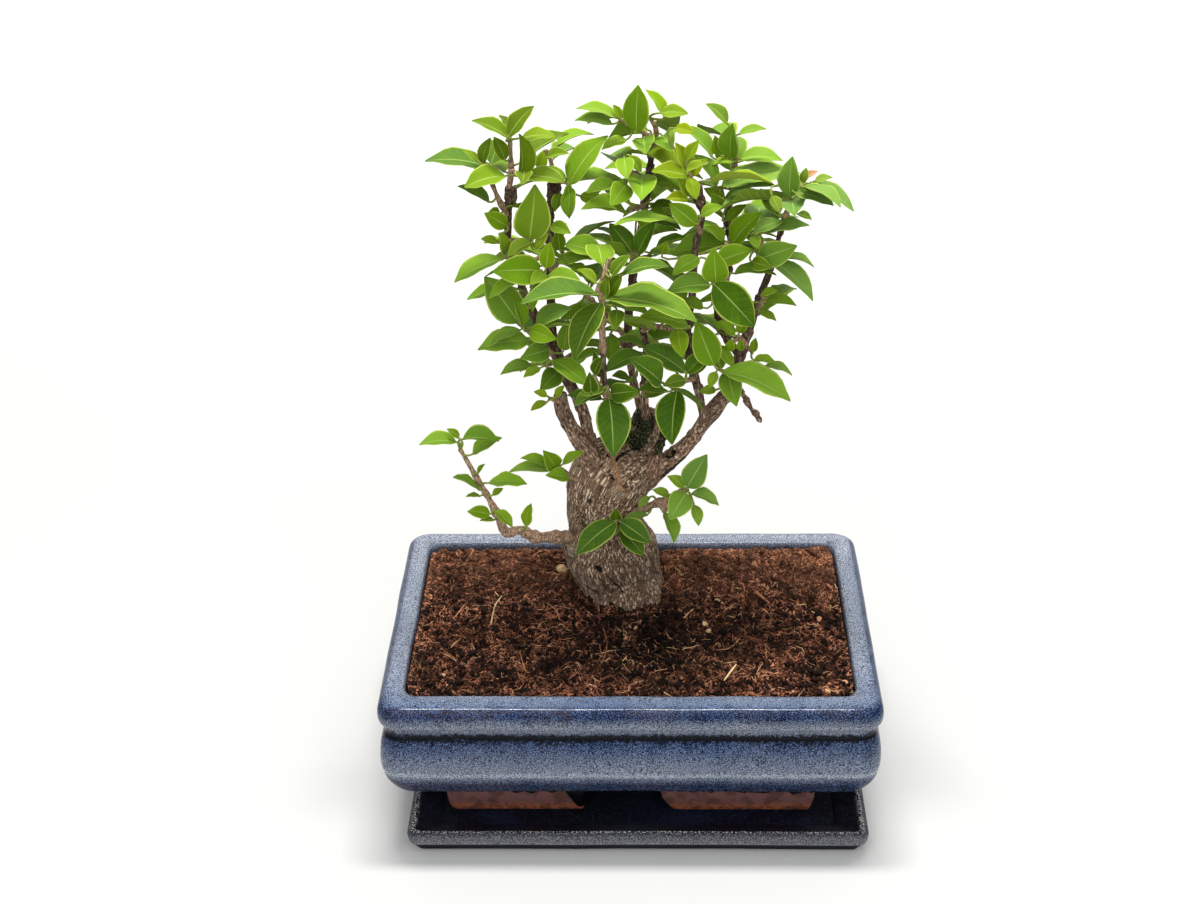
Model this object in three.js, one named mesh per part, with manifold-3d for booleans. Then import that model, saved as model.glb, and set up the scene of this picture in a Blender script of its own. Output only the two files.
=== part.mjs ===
// Bougainvillea bonsai in a glazed rectangular pot on its drip tray.
// Millimetres, +Z up. The origin is on the table, under the middle of the pot; -Y is the front.

import * as THREE from 'three';
import { mergeVertices } from 'three/addons/utils/BufferGeometryUtils.js';
import Module from 'manifold-3d';

const wasm = await Module();
wasm.setup();

// ---------------------------------------------------------------- driving dimensions

const GAP = 0.3; // left between pieces that touch

const POT = {
  halfX: 105, halfY: 72.5, // outside of the rim
  corner: 9, leastCorner: 4, cornerEase: 0.5, // corner radius, and how it tightens with each mm of inset
  top: 71, underside: 22.5, floor: 28, // heights above the table
  bellyIn: 14, bellyHigh: 15.5, bellySteps: 5, // quarter ellipse from the widest line to the underside
  shoulder: [[0.2, 24], [0.9, 19], [2.6, 15.4]], // from here on: [inset, depth below the top]
  groove: [[2.9, 13.6], [2.2, 10.6]],
  rim: [[0.5, 9.6], [0, 5], [0.5, 2.4], [2, 0.7], [4, 0], [9, 0], [10, 1]],
  wallIn: 11, floorIn: 14, floorRound: 6, // inner wall, and its foot above the floor
  holeX: 48, holeRadius: 7, // the two drainage holes
};
const FEET = {
  low: 6, bend: 11, rootIn: 2, // heights of the sole and the bend; depth sunk into the underside
  outerX: 79, innerX: 15, frontY: 58, armY: 24, wide: 9,
  splay: 3.5, endLean: 2, backLean: 0.3, // lean at the sole, and the share of it at the ends and inside
};
const TRAY = {
  shiftX: 3, halfX: 98, halfY: 78,
  corner: 4, leastCorner: 3, cornerEase: 0.3,
  base: [[22, 2.2], [21, 0], [12, 0], [11, 2.8]], // from here on: [inset, height above the table]
  wall: [[3.2, 3.2], [1.8, 4.4], [0.4, 8.4], [0.4, 9.4], [1.2, 10]],
  lip: [[3.4, 10], [4, 9.4], [13, 6.2], [14.5, 5.7]],
};
const SOIL = {
  backTop: 66.4, frontTop: 70, // heights of the surface
  hollow: { deep: 1.2, x: 14, y: -4, wide: 22 }, // washed out in front of the trunk
  waves: [[0.7, 0.11, 0.13], [0.4, 0.23, 0.19]], // [height, turns along X and along Y in radians per mm]
  footIn: 3.6, footHigh: 7, edgeIn: 0.3, corner: 6, rings: 5,
};
const SCREEN = { size: 24, thick: 1, cells: 2, bar: 2.4 };

// The tree is set out as seen from one eye point: a place is a column and a row of a frame 1200 wide
// and 904 high that stands REACH units before the eye, with the depth in Y at which it lies.
const EYE = new THREE.Vector3(7.7, -724.8, 548.8);
const REACH = 1960;
const FRAME_MIDDLE = [600, 452];
const LOOK = { yaw: -1.58, pitch: 28.63, roll: -0.92 }; // degrees

// Wood: each limb is a list of [column, row, width, depth], in frame units but for the depth in mm.
const WOOD = {
  trunk: [
    [634, 642, 46, 28], [631, 622, 56, 28], [627, 604, 67, 29], [622, 586, 78, 30],
    [617, 570, 85, 31], [611, 550, 91, 31], [607, 530, 77, 30], [601, 512, 67, 30],
    [604, 494, 76, 30], [612, 476, 82, 31], [626, 461, 70, 33], [636, 449, 50, 35],
  ],
  old_cut: [[634, 462, 50, 36], [642, 442, 42, 39], [646, 426, 36, 41], [648, 413, 28, 42]],
  limb_left: [
    [602, 484, 30, 26], [592, 462, 22, 22], [583, 446, 18, 19], [572, 429, 16, 17],
    [563, 411, 15, 15], [560, 394, 14, 14],
  ],
  riser_left: [
    [604, 476, 24, 28], [592, 452, 14, 27], [587, 428, 12, 26], [581, 406, 12, 25],
    [568, 380, 11, 22], [556, 352, 12, 20], [545, 333, 9, 19], [533, 312, 9, 18],
    [520, 282, 8, 18], [509, 250, 8, 18], [508, 222, 8, 18], [507, 196, 7, 18],
  ],
  riser_left_back: [
    [558, 356, 9, 21], [552, 330, 9, 27], [551, 300, 9, 33], [550, 268, 9, 38],
    [551, 240, 8, 41], [550, 212, 8, 42], [553, 186, 7, 42],
  ],
  riser_front: [
    [612, 470, 16, 24], [609, 440, 9, 16], [608, 410, 7, 9], [604, 378, 7, 2], [603, 345, 6, -4],
  ],
  riser_middle: [
    [646, 436, 16, 42], [640, 408, 9, 43], [632, 372, 8, 44], [628, 340, 8, 45],
    [629, 308, 8, 45], [634, 270, 8, 45], [640, 235, 8, 44], [645, 205, 8, 43],
    [649, 172, 7, 42], [654, 146, 6, 41],
  ],
  riser_pale: [
    [642, 462, 14, 34], [646, 432, 10, 32], [645, 405, 8, 30], [645, 372, 8, 28],
    [646, 345, 7, 27], [641, 322, 7, 26],
  ],
  limb_right: [
    [628, 490, 34, 30], [646, 477, 26, 29], [664, 464, 20, 28], [680, 451, 17, 27],
    [692, 439, 15, 27], [702, 425, 14, 27], [713, 410, 14, 28], [723, 396, 13, 29],
    [733, 378, 12, 30], [740, 356, 11, 31], [746, 337, 10, 31], [753, 316, 9, 31],
    [761, 294, 8, 31], [769, 272, 7, 31], [776, 247, 6, 31], [783, 222, 6, 31],
  ],
  riser_right: [
    [705, 423, 10, 26], [700, 398, 9, 21], [694, 374, 9, 18], [689, 350, 9, 17],
    [688, 325, 8, 17], [692, 298, 8, 18], [694, 268, 8, 19], [697, 240, 7, 21],
    [703, 214, 7, 22], [698, 195, 6, 22],
  ],
  riser_right_back: [
    [741, 358, 9, 32], [728, 340, 8, 38], [718, 320, 8, 43], [718, 303, 8, 46],
    [727, 276, 8, 48], [731, 245, 7, 48], [728, 216, 8, 47], [733, 188, 6, 45],
  ],
  stub_right: [[644, 484, 18, 26], [655, 458, 12, 22], [662, 440, 10, 21], [667, 430, 9, 20]],
  dead_twig: [[735, 382, 5, 29], [745, 398, 4, 24], [753, 411, 3.4, 21], [761, 421, 3, 19]],
};
const LIMB_SIDES = { trunk: 14, old_cut: 9, limb_left: 8, limb_right: 8, stub_right: 7, dead_twig: 5 };
const RISER_SIDES = 5;
const BURLS = [[641, 470, 44, 30], [580, 543, 36, 26]]; // rounded healed cuts

// Leafy shoots: stems are lists of [column, row, depth]; a leaf is [foot column, foot row, tip column,
// tip row, width shown], and -1 after these turns its tip away from the eye; fill counts the leaves
// that the growth rule adds round the stems; girth gives the stems' radii in mm, from foot to tip, where
// they are thicker than the others.
const SHOOTS = {
  heroes_centre: {
    stems: [
      [[603, 352, -3], [602, 322, -7], [602, 300, -9], [598, 290, -10], [604, 275, -10], [609, 258, -9]],
    ],
    leaves: [
      [597, 295, 521, 304, 20], [606, 299, 697, 320, 26], [601, 303, 576, 360, 30],
      [612, 276, 630, 255, 12], [622, 275, 668, 264, 14], [606, 296, 607, 276, 10],
      [596, 283, 577, 270, 10], [617, 310, 616, 331, 17],
    ],
    fill: 2,
  },
  hanging_centre: {
    stems: [[[607, 404, 8], [608, 394, 0], [607, 386, -6]], [[607, 396, 2], [598, 384, -2], [594, 374, -2]]],
    leaves: [
      [609, 399, 614, 457, 36], [611, 394, 641, 390, 22], [603, 388, 578, 396, 14], [604, 393, 574, 406, 12],
      [594, 374, 604, 356, 12], [591, 391, 590, 374, 17],
    ],
    fill: 1,
  },
  hanging_right: {
    stems: [[[694, 378, 18], [686, 381, 10], [679, 385, 3]]],
    leaves: [
      [677, 391, 672, 445, 31], [685, 380, 661, 386, 15], [665, 392, 637, 390, 12],
      [685, 372, 641, 347, 22], [687, 373, 709, 352, 18],
    ],
    fill: 1,
  },
  trunk_front: {
    stems: [[[612, 530, 18], [615, 525, 8], [617, 519, 3]]],
    leaves: [
      [615, 522, 577, 555, 26], [621, 522, 650, 543, 22], [622, 531, 644, 556, 20],
      [616, 519, 616, 508, 13],
    ],
    fill: 0,
  },
  heroes_right: {
    stems: [[[727, 278, 46], [722, 276, 30], [716, 272, 16], [712, 276, 8]]],
    leaves: [
      [717, 263, 752, 250, 22], [716, 282, 712, 253, 28], [714, 284, 754, 322, 38],
      [710, 285, 667, 292, 22], [703, 308, 681, 300, 12], [699, 258, 672, 275, 18],
    ],
    fill: 1,
  },
  big_leaves_right: {
    stems: [[[732, 236, 48], [730, 240, 34], [727, 245, 20]]],
    leaves: [
      [726, 247, 672, 250, 25], [732, 245, 761, 211, 22], [724, 240, 706, 226, 12],
      [662, 252, 670, 238, 12],
    ],
    fill: 2,
  },
  lower_right: {
    stems: [[[735, 380, 28], [727, 374, 18], [720, 369, 12]]],
    leaves: [
      [722, 372, 790, 399, 24], [727, 371, 735, 406, 24], [765, 366, 792, 374, 10],
      [714, 365, 694, 323, 30], [716, 372, 709, 388, 11], [716, 390, 699, 392, 10],
    ],
    fill: 1,
  },
  crown_left: {
    stems: [
      [[507, 199, 18], [511, 172, 16], [510, 140, 15]],
      [[511, 170, 16], [520, 177, 10]],
    ],
    leaves: [
      [509, 138, 472, 122, 14], [509, 136, 534, 107, 18], [522, 138, 556, 137, 14],
      [521, 177, 519, 133, 20], [505, 160, 495, 137, 15], [524, 173, 524, 188, 18],
      [527, 176, 565, 183, 18], [505, 176, 461, 190, 20], [511, 137, 499, 112, 10],
    ],
    fill: 2,
  },
  crown_left_side: {
    stems: [[[508, 216, 18], [498, 198, 11], [486, 168, 8]]],
    leaves: [
      [486, 166, 426, 163, 20], [489, 202, 458, 187, 12], [483, 164, 489, 138, 12],
      [478, 161, 464, 150, 8], [500, 214, 486, 219, 16],
    ],
    fill: 2,
  },
  crown_left_back: {
    stems: [[[553, 190, 42], [552, 166, 40], [546, 150, 38]], [[552, 178, 41], [568, 184, 34]]],
    leaves: [
      [547, 158, 569, 154, 10], [571, 188, 570, 219, 16], [560, 193, 555, 212, 12],
      [570, 184, 606, 136, 26], [540, 170, 545, 150, 13], [580, 196, 604, 200, 14],
    ],
    fill: 4,
  },
  left_upper: {
    stems: [[[508, 242, 18], [520, 240, 11], [532, 240, 6]]],
    leaves: [[530, 239, 536, 190, 38], [531, 243, 507, 257, 14], [535, 249, 548, 234, 10]],
    fill: 1,
  },
  left_side: {
    stems: [[[509, 258, 18], [503, 246, 12], [500, 234, 9]]],
    leaves: [
      [507, 226, 485, 214, 18], [497, 243, 481, 239, 9], [505, 254, 500, 230, 11],
      [503, 259, 456, 284, 16],
    ],
    fill: 2,
  },
  left_middle: {
    stems: [[[531, 308, 18], [534, 290, 8], [540, 274, 3]]],
    leaves: [
      [540, 270, 494, 271, 32], [545, 274, 526, 288, 14], [546, 268, 550, 243, 17],
      [548, 276, 580, 282, 14], [540, 282, 533, 313, 12], [502, 289, 467, 301, 12, -1],
    ],
    fill: 2,
  },
  left_low: {
    stems: [[[553, 354, 20], [540, 342, 12], [525, 328, 6]]],
    leaves: [
      [519, 322, 486, 277, 36], [523, 327, 514, 296, 12], [520, 330, 490, 345, 12],
      [528, 341, 478, 348, 25], [530, 330, 556, 340, 20], [537, 325, 570, 306, 18],
      [548, 350, 515, 361, 22], [532, 366, 501, 374, 14],
    ],
    fill: 2,
  },
  left_bottom: {
    stems: [[[560, 364, 20], [554, 362, 12], [546, 366, 6]]],
    leaves: [[553, 361, 589, 385, 20], [558, 371, 541, 391, 22], [540, 368, 524, 378, 10]],
    fill: 1,
  },
  left_cut: {
    stems: [[[562, 402, 14], [555, 400, 8], [549, 398, 6]]],
    leaves: [[547, 402, 531, 411, 8], [547, 396, 534, 391, 8], [556, 397, 565, 386, 8]],
    fill: 0,
  },
  left_centre: {
    stems: [[[551, 270, 37], [558, 262, 28], [564, 254, 22]]],
    leaves: [
      [566, 244, 608, 259, 22], [558, 262, 590, 256, 14], [560, 250, 557, 230, 14],
      [570, 266, 590, 280, 12], [551, 226, 573, 235, 14],
    ],
    fill: 4,
  },
  centre_back: {
    stems: [
      [[628, 342, 45], [616, 326, 36], [604, 318, 30]],
      [[614, 324, 35], [598, 306, 36], [582, 292, 34]],
    ],
    leaves: [
      [604, 326, 570, 336, 18], [630, 380, 607, 376, 9], [582, 290, 560, 280, 14], [582, 302, 574, 328, 12],
      [610, 336, 612, 364, 20], [592, 310, 560, 318, 16],
    ],
    fill: 5,
  },
  crown_centre: {
    stems: [
      [[654, 150, 41], [656, 130, 38], [650, 118, 34]],
      [[655, 140, 40], [636, 128, 32], [620, 119, 30]],
    ],
    leaves: [
      [637, 132, 638, 85, 27], [648, 130, 607, 139, 18], [617, 118, 577, 107, 11],
      [612, 124, 575, 120, 13], [620, 118, 613, 105, 9], [664, 116, 646, 90, 12],
      [661, 113, 688, 114, 14], [663, 136, 669, 155, 26], [643, 138, 647, 166, 24],
      [626, 140, 601, 149, 12],
    ],
    fill: 3,
  },
  centre_upper: {
    stems: [[[649, 180, 42], [640, 176, 32], [628, 178, 26]], [[634, 177, 29], [626, 160, 24]]],
    leaves: [
      [624, 158, 627, 182, 20], [630, 156, 641, 172, 12], [642, 175, 641, 205, 31],
      [626, 184, 612, 209, 24], [618, 186, 586, 194, 14],
    ],
    fill: 2,
  },
  centre_side: {
    stems: [[[645, 206, 43], [636, 208, 35], [628, 212, 30]]],
    leaves: [[626, 213, 578, 207, 14], [630, 204, 606, 196, 10], [640, 214, 648, 236, 14]],
    fill: 2,
  },
  centre_right: {
    stems: [[[699, 199, 22], [692, 182, 18], [687, 168, 16]]],
    leaves: [
      [686, 175, 651, 173, 18], [689, 178, 697, 200, 14], [685, 162, 671, 144, 12],
      [688, 160, 699, 141, 12], [690, 170, 712, 160, 9], [675, 128, 696, 135, 12],
      [688, 200, 665, 200, 12], [690, 196, 677, 177, 13], [706, 164, 684, 175, 9],
    ],
    fill: 3,
  },
  right_inner: {
    stems: [[[700, 232, 21], [697, 224, 14], [699, 216, 10]]],
    leaves: [[696, 224, 669, 204, 22], [701, 216, 722, 206, 12]],
    fill: 1,
  },
  centre_dark: {
    stems: [[[639, 247, 44], [636, 252, 34], [634, 256, 28]]],
    leaves: [
      [652, 207, 677, 208, 10], [650, 222, 681, 230, 12], [632, 252, 609, 224, 22],
      [638, 254, 657, 222, 18], [628, 257, 600, 246, 12],
    ],
    fill: 4,
  },
  centre_lower: {
    stems: [[[643, 330, 26], [654, 326, 20], [672, 330, 14]]],
    leaves: [[688, 326, 637, 317, 20], [678, 330, 680, 357, 20], [640, 326, 622, 318, 10]],
    fill: 1,
  },
  centre_bottom: {
    stems: [[[646, 366, 27], [652, 372, 20], [658, 380, 12]], [[650, 370, 22], [640, 362, 14]]],
    leaves: [[661, 382, 621, 357, 26], [642, 354, 604, 373, 18], [644, 346, 615, 341, 9]],
    fill: 1,
  },
  crown_right: {
    stems: [[[733, 192, 45], [735, 166, 40], [736, 140, 36]], [[734, 180, 43], [722, 188, 34]]],
    leaves: [
      [727, 123, 706, 104, 13], [731, 158, 730, 119, 22], [739, 134, 766, 130, 9],
      [719, 154, 715, 139, 15], [741, 159, 782, 160, 16], [722, 186, 799, 171, 22],
      [733, 162, 712, 165, 8], [718, 206, 703, 190, 18], [724, 205, 763, 194, 14],
      [716, 186, 691, 154, 14], [712, 157, 680, 127, 14], [728, 189, 776, 187, 16],
    ],
    fill: 4,
  },
  crown_right_side: {
    stems: [[[783, 224, 31], [790, 204, 28], [798, 190, 26], [812, 184, 24]]],
    leaves: [
      [774, 213, 760, 189, 16], [790, 196, 790, 156, 24], [792, 201, 791, 221, 34],
      [796, 193, 835, 207, 18], [803, 183, 806, 168, 9], [804, 188, 846, 213, 12], [812, 183, 853, 211, 12],
      [815, 181, 832, 177, 8], [772, 196, 780, 214, 12], [798, 214, 812, 219, 8],
    ],
    fill: 3,
  },
  right_upper: {
    stems: [[[773, 260, 31], [764, 246, 23], [754, 236, 18]]],
    leaves: [
      [753, 233, 782, 221, 12], [766, 232, 808, 223, 12], [754, 236, 757, 250, 12],
      [760, 259, 799, 245, 28], [770, 261, 813, 299, 18], [782, 258, 814, 264, 8],
      [752, 262, 775, 271, 16],
    ],
    fill: 3,
  },
  right_middle: {
    stems: [[[745, 342, 31], [738, 337, 23], [733, 344, 17]], [[739, 338, 24], [752, 352, 20]]],
    leaves: [
      [735, 335, 713, 323, 12], [739, 333, 746, 316, 12], [729, 351, 730, 339, 11],
      [740, 350, 741, 338, 9], [753, 352, 756, 338, 9], [754, 360, 776, 362, 9],
    ],
    fill: 1,
  },
  right_side: {
    stems: [[[757, 308, 31], [762, 303, 25], [764, 296, 21]]],
    leaves: [[766, 302, 796, 305, 12], [762, 294, 777, 290, 8], [760, 312, 776, 321, 9]],
    fill: 2,
  },
  trunk_left: {
    stems: [[[584, 482, 24], [571, 477, 18], [560, 469, 14], [548, 468, 11]]],
    leaves: [
      [550, 470, 508, 471, 14], [548, 466, 521, 457, 10], [556, 467, 545, 451, 19],
      [563, 464, 583, 451, 10], [568, 478, 541, 473, 14],
    ],
    fill: 0,
  },
  trunk_right: {
    stems: [
      [[628, 517, 24], [640, 511, 17], [652, 505, 12], [665, 500, 9], [676, 494, 7], [688, 489, 5]],
      [[662, 501, 10], [665, 512, 6]],
    ],
    girth: [2.7, 1.2],
    leaves: [
      [687, 487, 706, 455, 26], [686, 493, 669, 518, 26], [691, 494, 719, 504, 12],
      [684, 487, 668, 475, 12], [669, 497, 652, 490, 9], [650, 497, 638, 508, 8],
      [664, 513, 674, 543, 15], [694, 505, 698, 526, 12],
    ],
    fill: 1,
  },
  branch_low_left: {
    stems: [
      [[578, 537, 26], [556, 537, 16], [536, 537, 10], [520, 530, 6], [506, 532, 4], [497, 514, 3],
        [488, 497, 3], [479, 482, 2], [470, 466, 2], [460, 449, 2]],
    ],
    girth: [2.9, 1.1],
    leaves: [
      [456, 442, 420, 443, 15], [463, 439, 500, 441, 16], [473, 454, 502, 437, 14],
      [459, 438, 447, 429, 8], [478, 473, 485, 464, 5], [480, 490, 447, 475, 10],
      [489, 483, 527, 483, 14], [480, 496, 466, 496, 5], [493, 495, 503, 488, 7],
      [490, 514, 468, 510, 14], [494, 520, 480, 520, 6], [495, 511, 512, 528, 12],
      [526, 526, 530, 503, 12],
    ],
    fill: 0,
  },
  back_left: {
    stems: [[[550, 262, 39], [546, 252, 52], [540, 240, 62]], [[547, 254, 50], [530, 262, 58]]],
    leaves: [],
    fill: 8,
  },
  back_left_low: {
    stems: [[[568, 378, 23], [560, 366, 38], [548, 350, 50]], [[558, 363, 40], [580, 350, 54]]],
    leaves: [],
    fill: 8,
  },
  back_middle: {
    stems: [[[634, 270, 45], [632, 258, 56], [626, 240, 64]], [[632, 260, 54], [650, 256, 64]]],
    leaves: [],
    fill: 8,
  },
  back_middle_low: {
    stems: [[[630, 360, 44], [624, 346, 55], [610, 334, 62]], [[625, 348, 54], [648, 338, 62]]],
    leaves: [],
    fill: 8,
  },
  back_crown: {
    stems: [[[648, 184, 42], [640, 176, 54], [628, 170, 62]], [[642, 178, 51], [664, 168, 60]]],
    leaves: [],
    fill: 8,
  },
  back_right: {
    stems: [[[731, 244, 48], [734, 230, 57], [742, 218, 64]], [[733, 234, 54], [714, 230, 62]]],
    leaves: [],
    fill: 8,
  },
  back_right_low: {
    stems: [[[744, 344, 31], [752, 330, 44], [748, 312, 56]], [[751, 328, 45], [730, 322, 56]]],
    leaves: [],
    fill: 8,
  },
};

const STEM = { girth: [1.6, 1.2], sides: 5 };
const STALK = {
  half: 0.75, deep: 1.1, // half width and thickness
  standOff: 3, // foot of the blade in front of its stem
  sink: 0.6, // past the stem's middle
  leastAlong: -0.2, // cosine between stalk and blade; less would fold the leaf back
  steps: 8, fromEnd: 1.2, fromWood: 1.2,
};
const LEAF = {
  widthShare: 0.64, // width over length of a whole leaf
  leastSlack: 1.02, rollLimit: 68, // real over seen length, and degrees that a face turns from the eye
  ribThick: 1.2, // at the midrib; a blade thins to its margin
  fold: 16, bow: 0.07, // degrees that each half rises; height of the arch over length
};
const OUTLINES = [ // for leaves longer than from: [share of length, half width over width] ...
  { from: 30, stations: [[0.17, 0.44], [0.43, 0.54], [0.74, 0.38]] },
  { from: 11, stations: [[0.25, 0.5], [0.64, 0.42]] },
  { from: 0, stations: [[0.42, 0.52]] },
];

const CLEAR = { side: 0.9, face: 0.45 }; // a leaf is tried this much larger, in mm
const SHIFTS = [0, -4, 4, -8, 8, -12, 12]; // mm in depth, tried in turn
const SWINGS = [0, 14, -14, 28, -28]; // degrees towards and away from the eye
const GROWTH = { // each pair is a range for one random draw
  tries: 14, limitX: 99, limitY: 72,
  along: [0.25, 1], heading: [-20, 200], climb: [-35, 30], length: [15, 27], stalk: [3.6, 8.4],
  skyX: [-0.25, 0.25], skyY: [-0.05, 0.45],
};
const CROWN = [ // row, and the columns between which a grown leaf's tip stays at it
  [86, 630, 645], [105, 580, 710], [120, 480, 735], [150, 440, 776], [168, 452, 802], [200, 482, 845],
  [232, 490, 785], [265, 468, 805], [296, 474, 800], [320, 500, 760], [345, 482, 750], [368, 508, 772],
  [395, 540, 780], [425, 560, 712],
];

// ---------------------------------------------------------------- geometry helpers

const vector = (x, y, z) => new THREE.Vector3(x, y, z);
const along = (a, b, t) => a + (b - a) * t;
const within = ([low, high], t) => along(low, high, t);
const degrees = THREE.MathUtils.degToRad;

/** Closed geometry from a list of points and a list of corner triples. */
function shell(points, faces) {
  const geometry = new THREE.BufferGeometry();
  const flat = points.flatMap((p) => [p.x, p.y, p.z]);
  geometry.setAttribute('position', new THREE.Float32BufferAttribute(flat, 3));
  geometry.setIndex(faces.flat());
  return geometry;
}

/** Solid of a closed geometry, in any of three.js's forms. */
function solidOf(geometry) {
  const bare = geometry.clone();
  bare.deleteAttribute('normal');
  bare.deleteAttribute('uv');
  const merged = mergeVertices(bare, 1e-4);
  return new wasm.Manifold(new wasm.Mesh({
    numProp: 3,
    vertProperties: new Float32Array(merged.attributes.position.array),
    triVerts: new Uint32Array(merged.index.array),
  }));
}

function geometryOf(solid) {
  const mesh = solid.getMesh();
  const geometry = new THREE.BufferGeometry();
  geometry.setAttribute('position', new THREE.Float32BufferAttribute(mesh.vertProperties, 3));
  geometry.setIndex(new THREE.Uint32BufferAttribute(mesh.triVerts, 1));
  const faceted = geometry.toNonIndexed();
  faceted.computeVertexNormals();
  return faceted;
}

const joined = (solids) => solids.reduce((sum, solid) => sum.add(solid));

/** Corners of a rounded rectangle at height z, counter-clockwise. */
function roundedRing(halfX, halfY, corner, z, steps = 3) {
  const centres = [[1, 1], [-1, 1], [-1, -1], [1, -1]];
  return centres.flatMap(([sx, sy], quarter) => {
    const ring = [];
    for (let i = 0; i <= steps; i++) {
      const angle = (quarter + i / steps) * Math.PI / 2;
      ring.push(vector(
        sx * (halfX - corner) + corner * Math.cos(angle),
        sy * (halfY - corner) + corner * Math.sin(angle),
        z,
      ));
    }
    return ring;
  });
}

/** Skin through rings of equal count that are listed from the bottom, over the outside, to the end. */
function loft(rings) {
  const count = rings[0].length;
  const faces = [];
  for (let r = 0; r + 1 < rings.length; r++) {
    for (let i = 0; i < count; i++) {
      const j = (i + 1) % count;
      const [a, b] = [r * count, (r + 1) * count];
      faces.push([a + i, a + j, b + j], [a + i, b + j, b + i]);
    }
  }
  const last = (rings.length - 1) * count;
  for (let i = 1; i + 1 < count; i++) {
    faces.push([0, i + 1, i], [last, last + i, last + i + 1]);
  }
  return shell(rings.flat(), faces);
}

/** Tapered round limb through points, its rings kept from twisting. */
function limb(points, radii, sides) {
  const curve = new THREE.CatmullRomCurve3(points);
  const rings = [];
  let side = vector(0, 1, 0);
  points.forEach((point, i) => {
    const tangent = curve.getTangent(i / (points.length - 1));
    side = side.sub(tangent.clone().multiplyScalar(side.dot(tangent))).normalize();
    const other = tangent.clone().cross(side);
    const ring = [];
    for (let k = 0; k < sides; k++) {
      const angle = (k / sides) * 2 * Math.PI;
      ring.push(point.clone()
        .addScaledVector(side, radii[i] * Math.cos(angle))
        .addScaledVector(other, radii[i] * Math.sin(angle)));
    }
    rings.push(ring);
    side = side.clone();
  });
  return loft(rings);
}

/** Repeatable random numbers from 0 to 1 for one seed. */
function drawsFrom(seed) {
  let state = seed >>> 0;
  return () => {
    state = (state + 0x6d2b79f5) >>> 0;
    let mixed = state;
    mixed = Math.imul(mixed ^ (mixed >>> 15), mixed | 1);
    mixed ^= mixed + Math.imul(mixed ^ (mixed >>> 7), mixed | 61);
    return ((mixed ^ (mixed >>> 14)) >>> 0) / 4294967296;
  };
}

// ---------------------------------------------------------------- from the frame to the tree

const [sinYaw, cosYaw] = [Math.sin(degrees(LOOK.yaw)), Math.cos(degrees(LOOK.yaw))];
const [sinPitch, cosPitch] = [Math.sin(degrees(LOOK.pitch)), Math.cos(degrees(LOOK.pitch))];
const [sinRoll, cosRoll] = [Math.sin(degrees(LOOK.roll)), Math.cos(degrees(LOOK.roll))];
const FORWARD = vector(sinYaw * cosPitch, cosYaw * cosPitch, -sinPitch);
const LEVEL = vector(cosYaw, -sinYaw, 0);
const UPRIGHT = LEVEL.clone().cross(FORWARD);
const RIGHT = LEVEL.clone().multiplyScalar(cosRoll).addScaledVector(UPRIGHT, sinRoll);
const UP = UPRIGHT.clone().multiplyScalar(cosRoll).addScaledVector(LEVEL, -sinRoll);

/** The point at a depth in Y that is seen at a column and a row of the frame. */
function place(column, row, depth) {
  const ray = FORWARD.clone().multiplyScalar(REACH)
    .addScaledVector(RIGHT, column - FRAME_MIDDLE[0])
    .addScaledVector(UP, FRAME_MIDDLE[1] - row);
  return EYE.clone().addScaledVector(ray, (depth - EYE.y) / ray.y);
}

/** The column and row at which a point is seen: the inverse of place. */
function seenAt(point) {
  const ray = point.clone().sub(EYE);
  const scale = REACH / ray.dot(FORWARD);
  return [FRAME_MIDDLE[0] + ray.dot(RIGHT) * scale, FRAME_MIDDLE[1] - ray.dot(UP) * scale];
}

/** Millimetres to one frame unit at a point. */
const unitAt = (point) => point.clone().sub(EYE).dot(FORWARD) / REACH;

// ---------------------------------------------------------------- wood

function woodSolid(grow = 0) {
  const limbs = Object.entries(WOOD).map(([name, rings]) => {
    const points = rings.map(([column, row, , depth]) => place(column, row, depth));
    const radii = rings.map(([, , width], i) => (width * unitAt(points[i])) / 2 + grow);
    return solidOf(limb(points, radii, LIMB_SIDES[name] ?? RISER_SIDES));
  });
  const burls = BURLS.map(([column, row, width, depth]) => {
    const centre = place(column, row, depth);
    const ball = new THREE.IcosahedronGeometry((width * unitAt(centre)) / 2 + grow, 1);
    return solidOf(ball.translate(centre.x, centre.y, centre.z));
  });
  return joined([...limbs, ...burls]);
}

/** Distance from a place to the skin of the nearest limb. */
function woodDistance(at) {
  const distances = Object.values(WOOD).flatMap((rings) => {
    const points = rings.map(([column, row, , depth]) => place(column, row, depth));
    return rings.slice(1).map(([, , width], i) => {
      const nearestPoint = new THREE.Line3(points[i], points[i + 1])
        .closestPointToPoint(at, true, vector(0, 0, 0));
      return nearestPoint.distanceTo(at) - (width * unitAt(at)) / 2;
    });
  });
  return Math.min(...distances);
}

// ---------------------------------------------------------------- leaves

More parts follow.
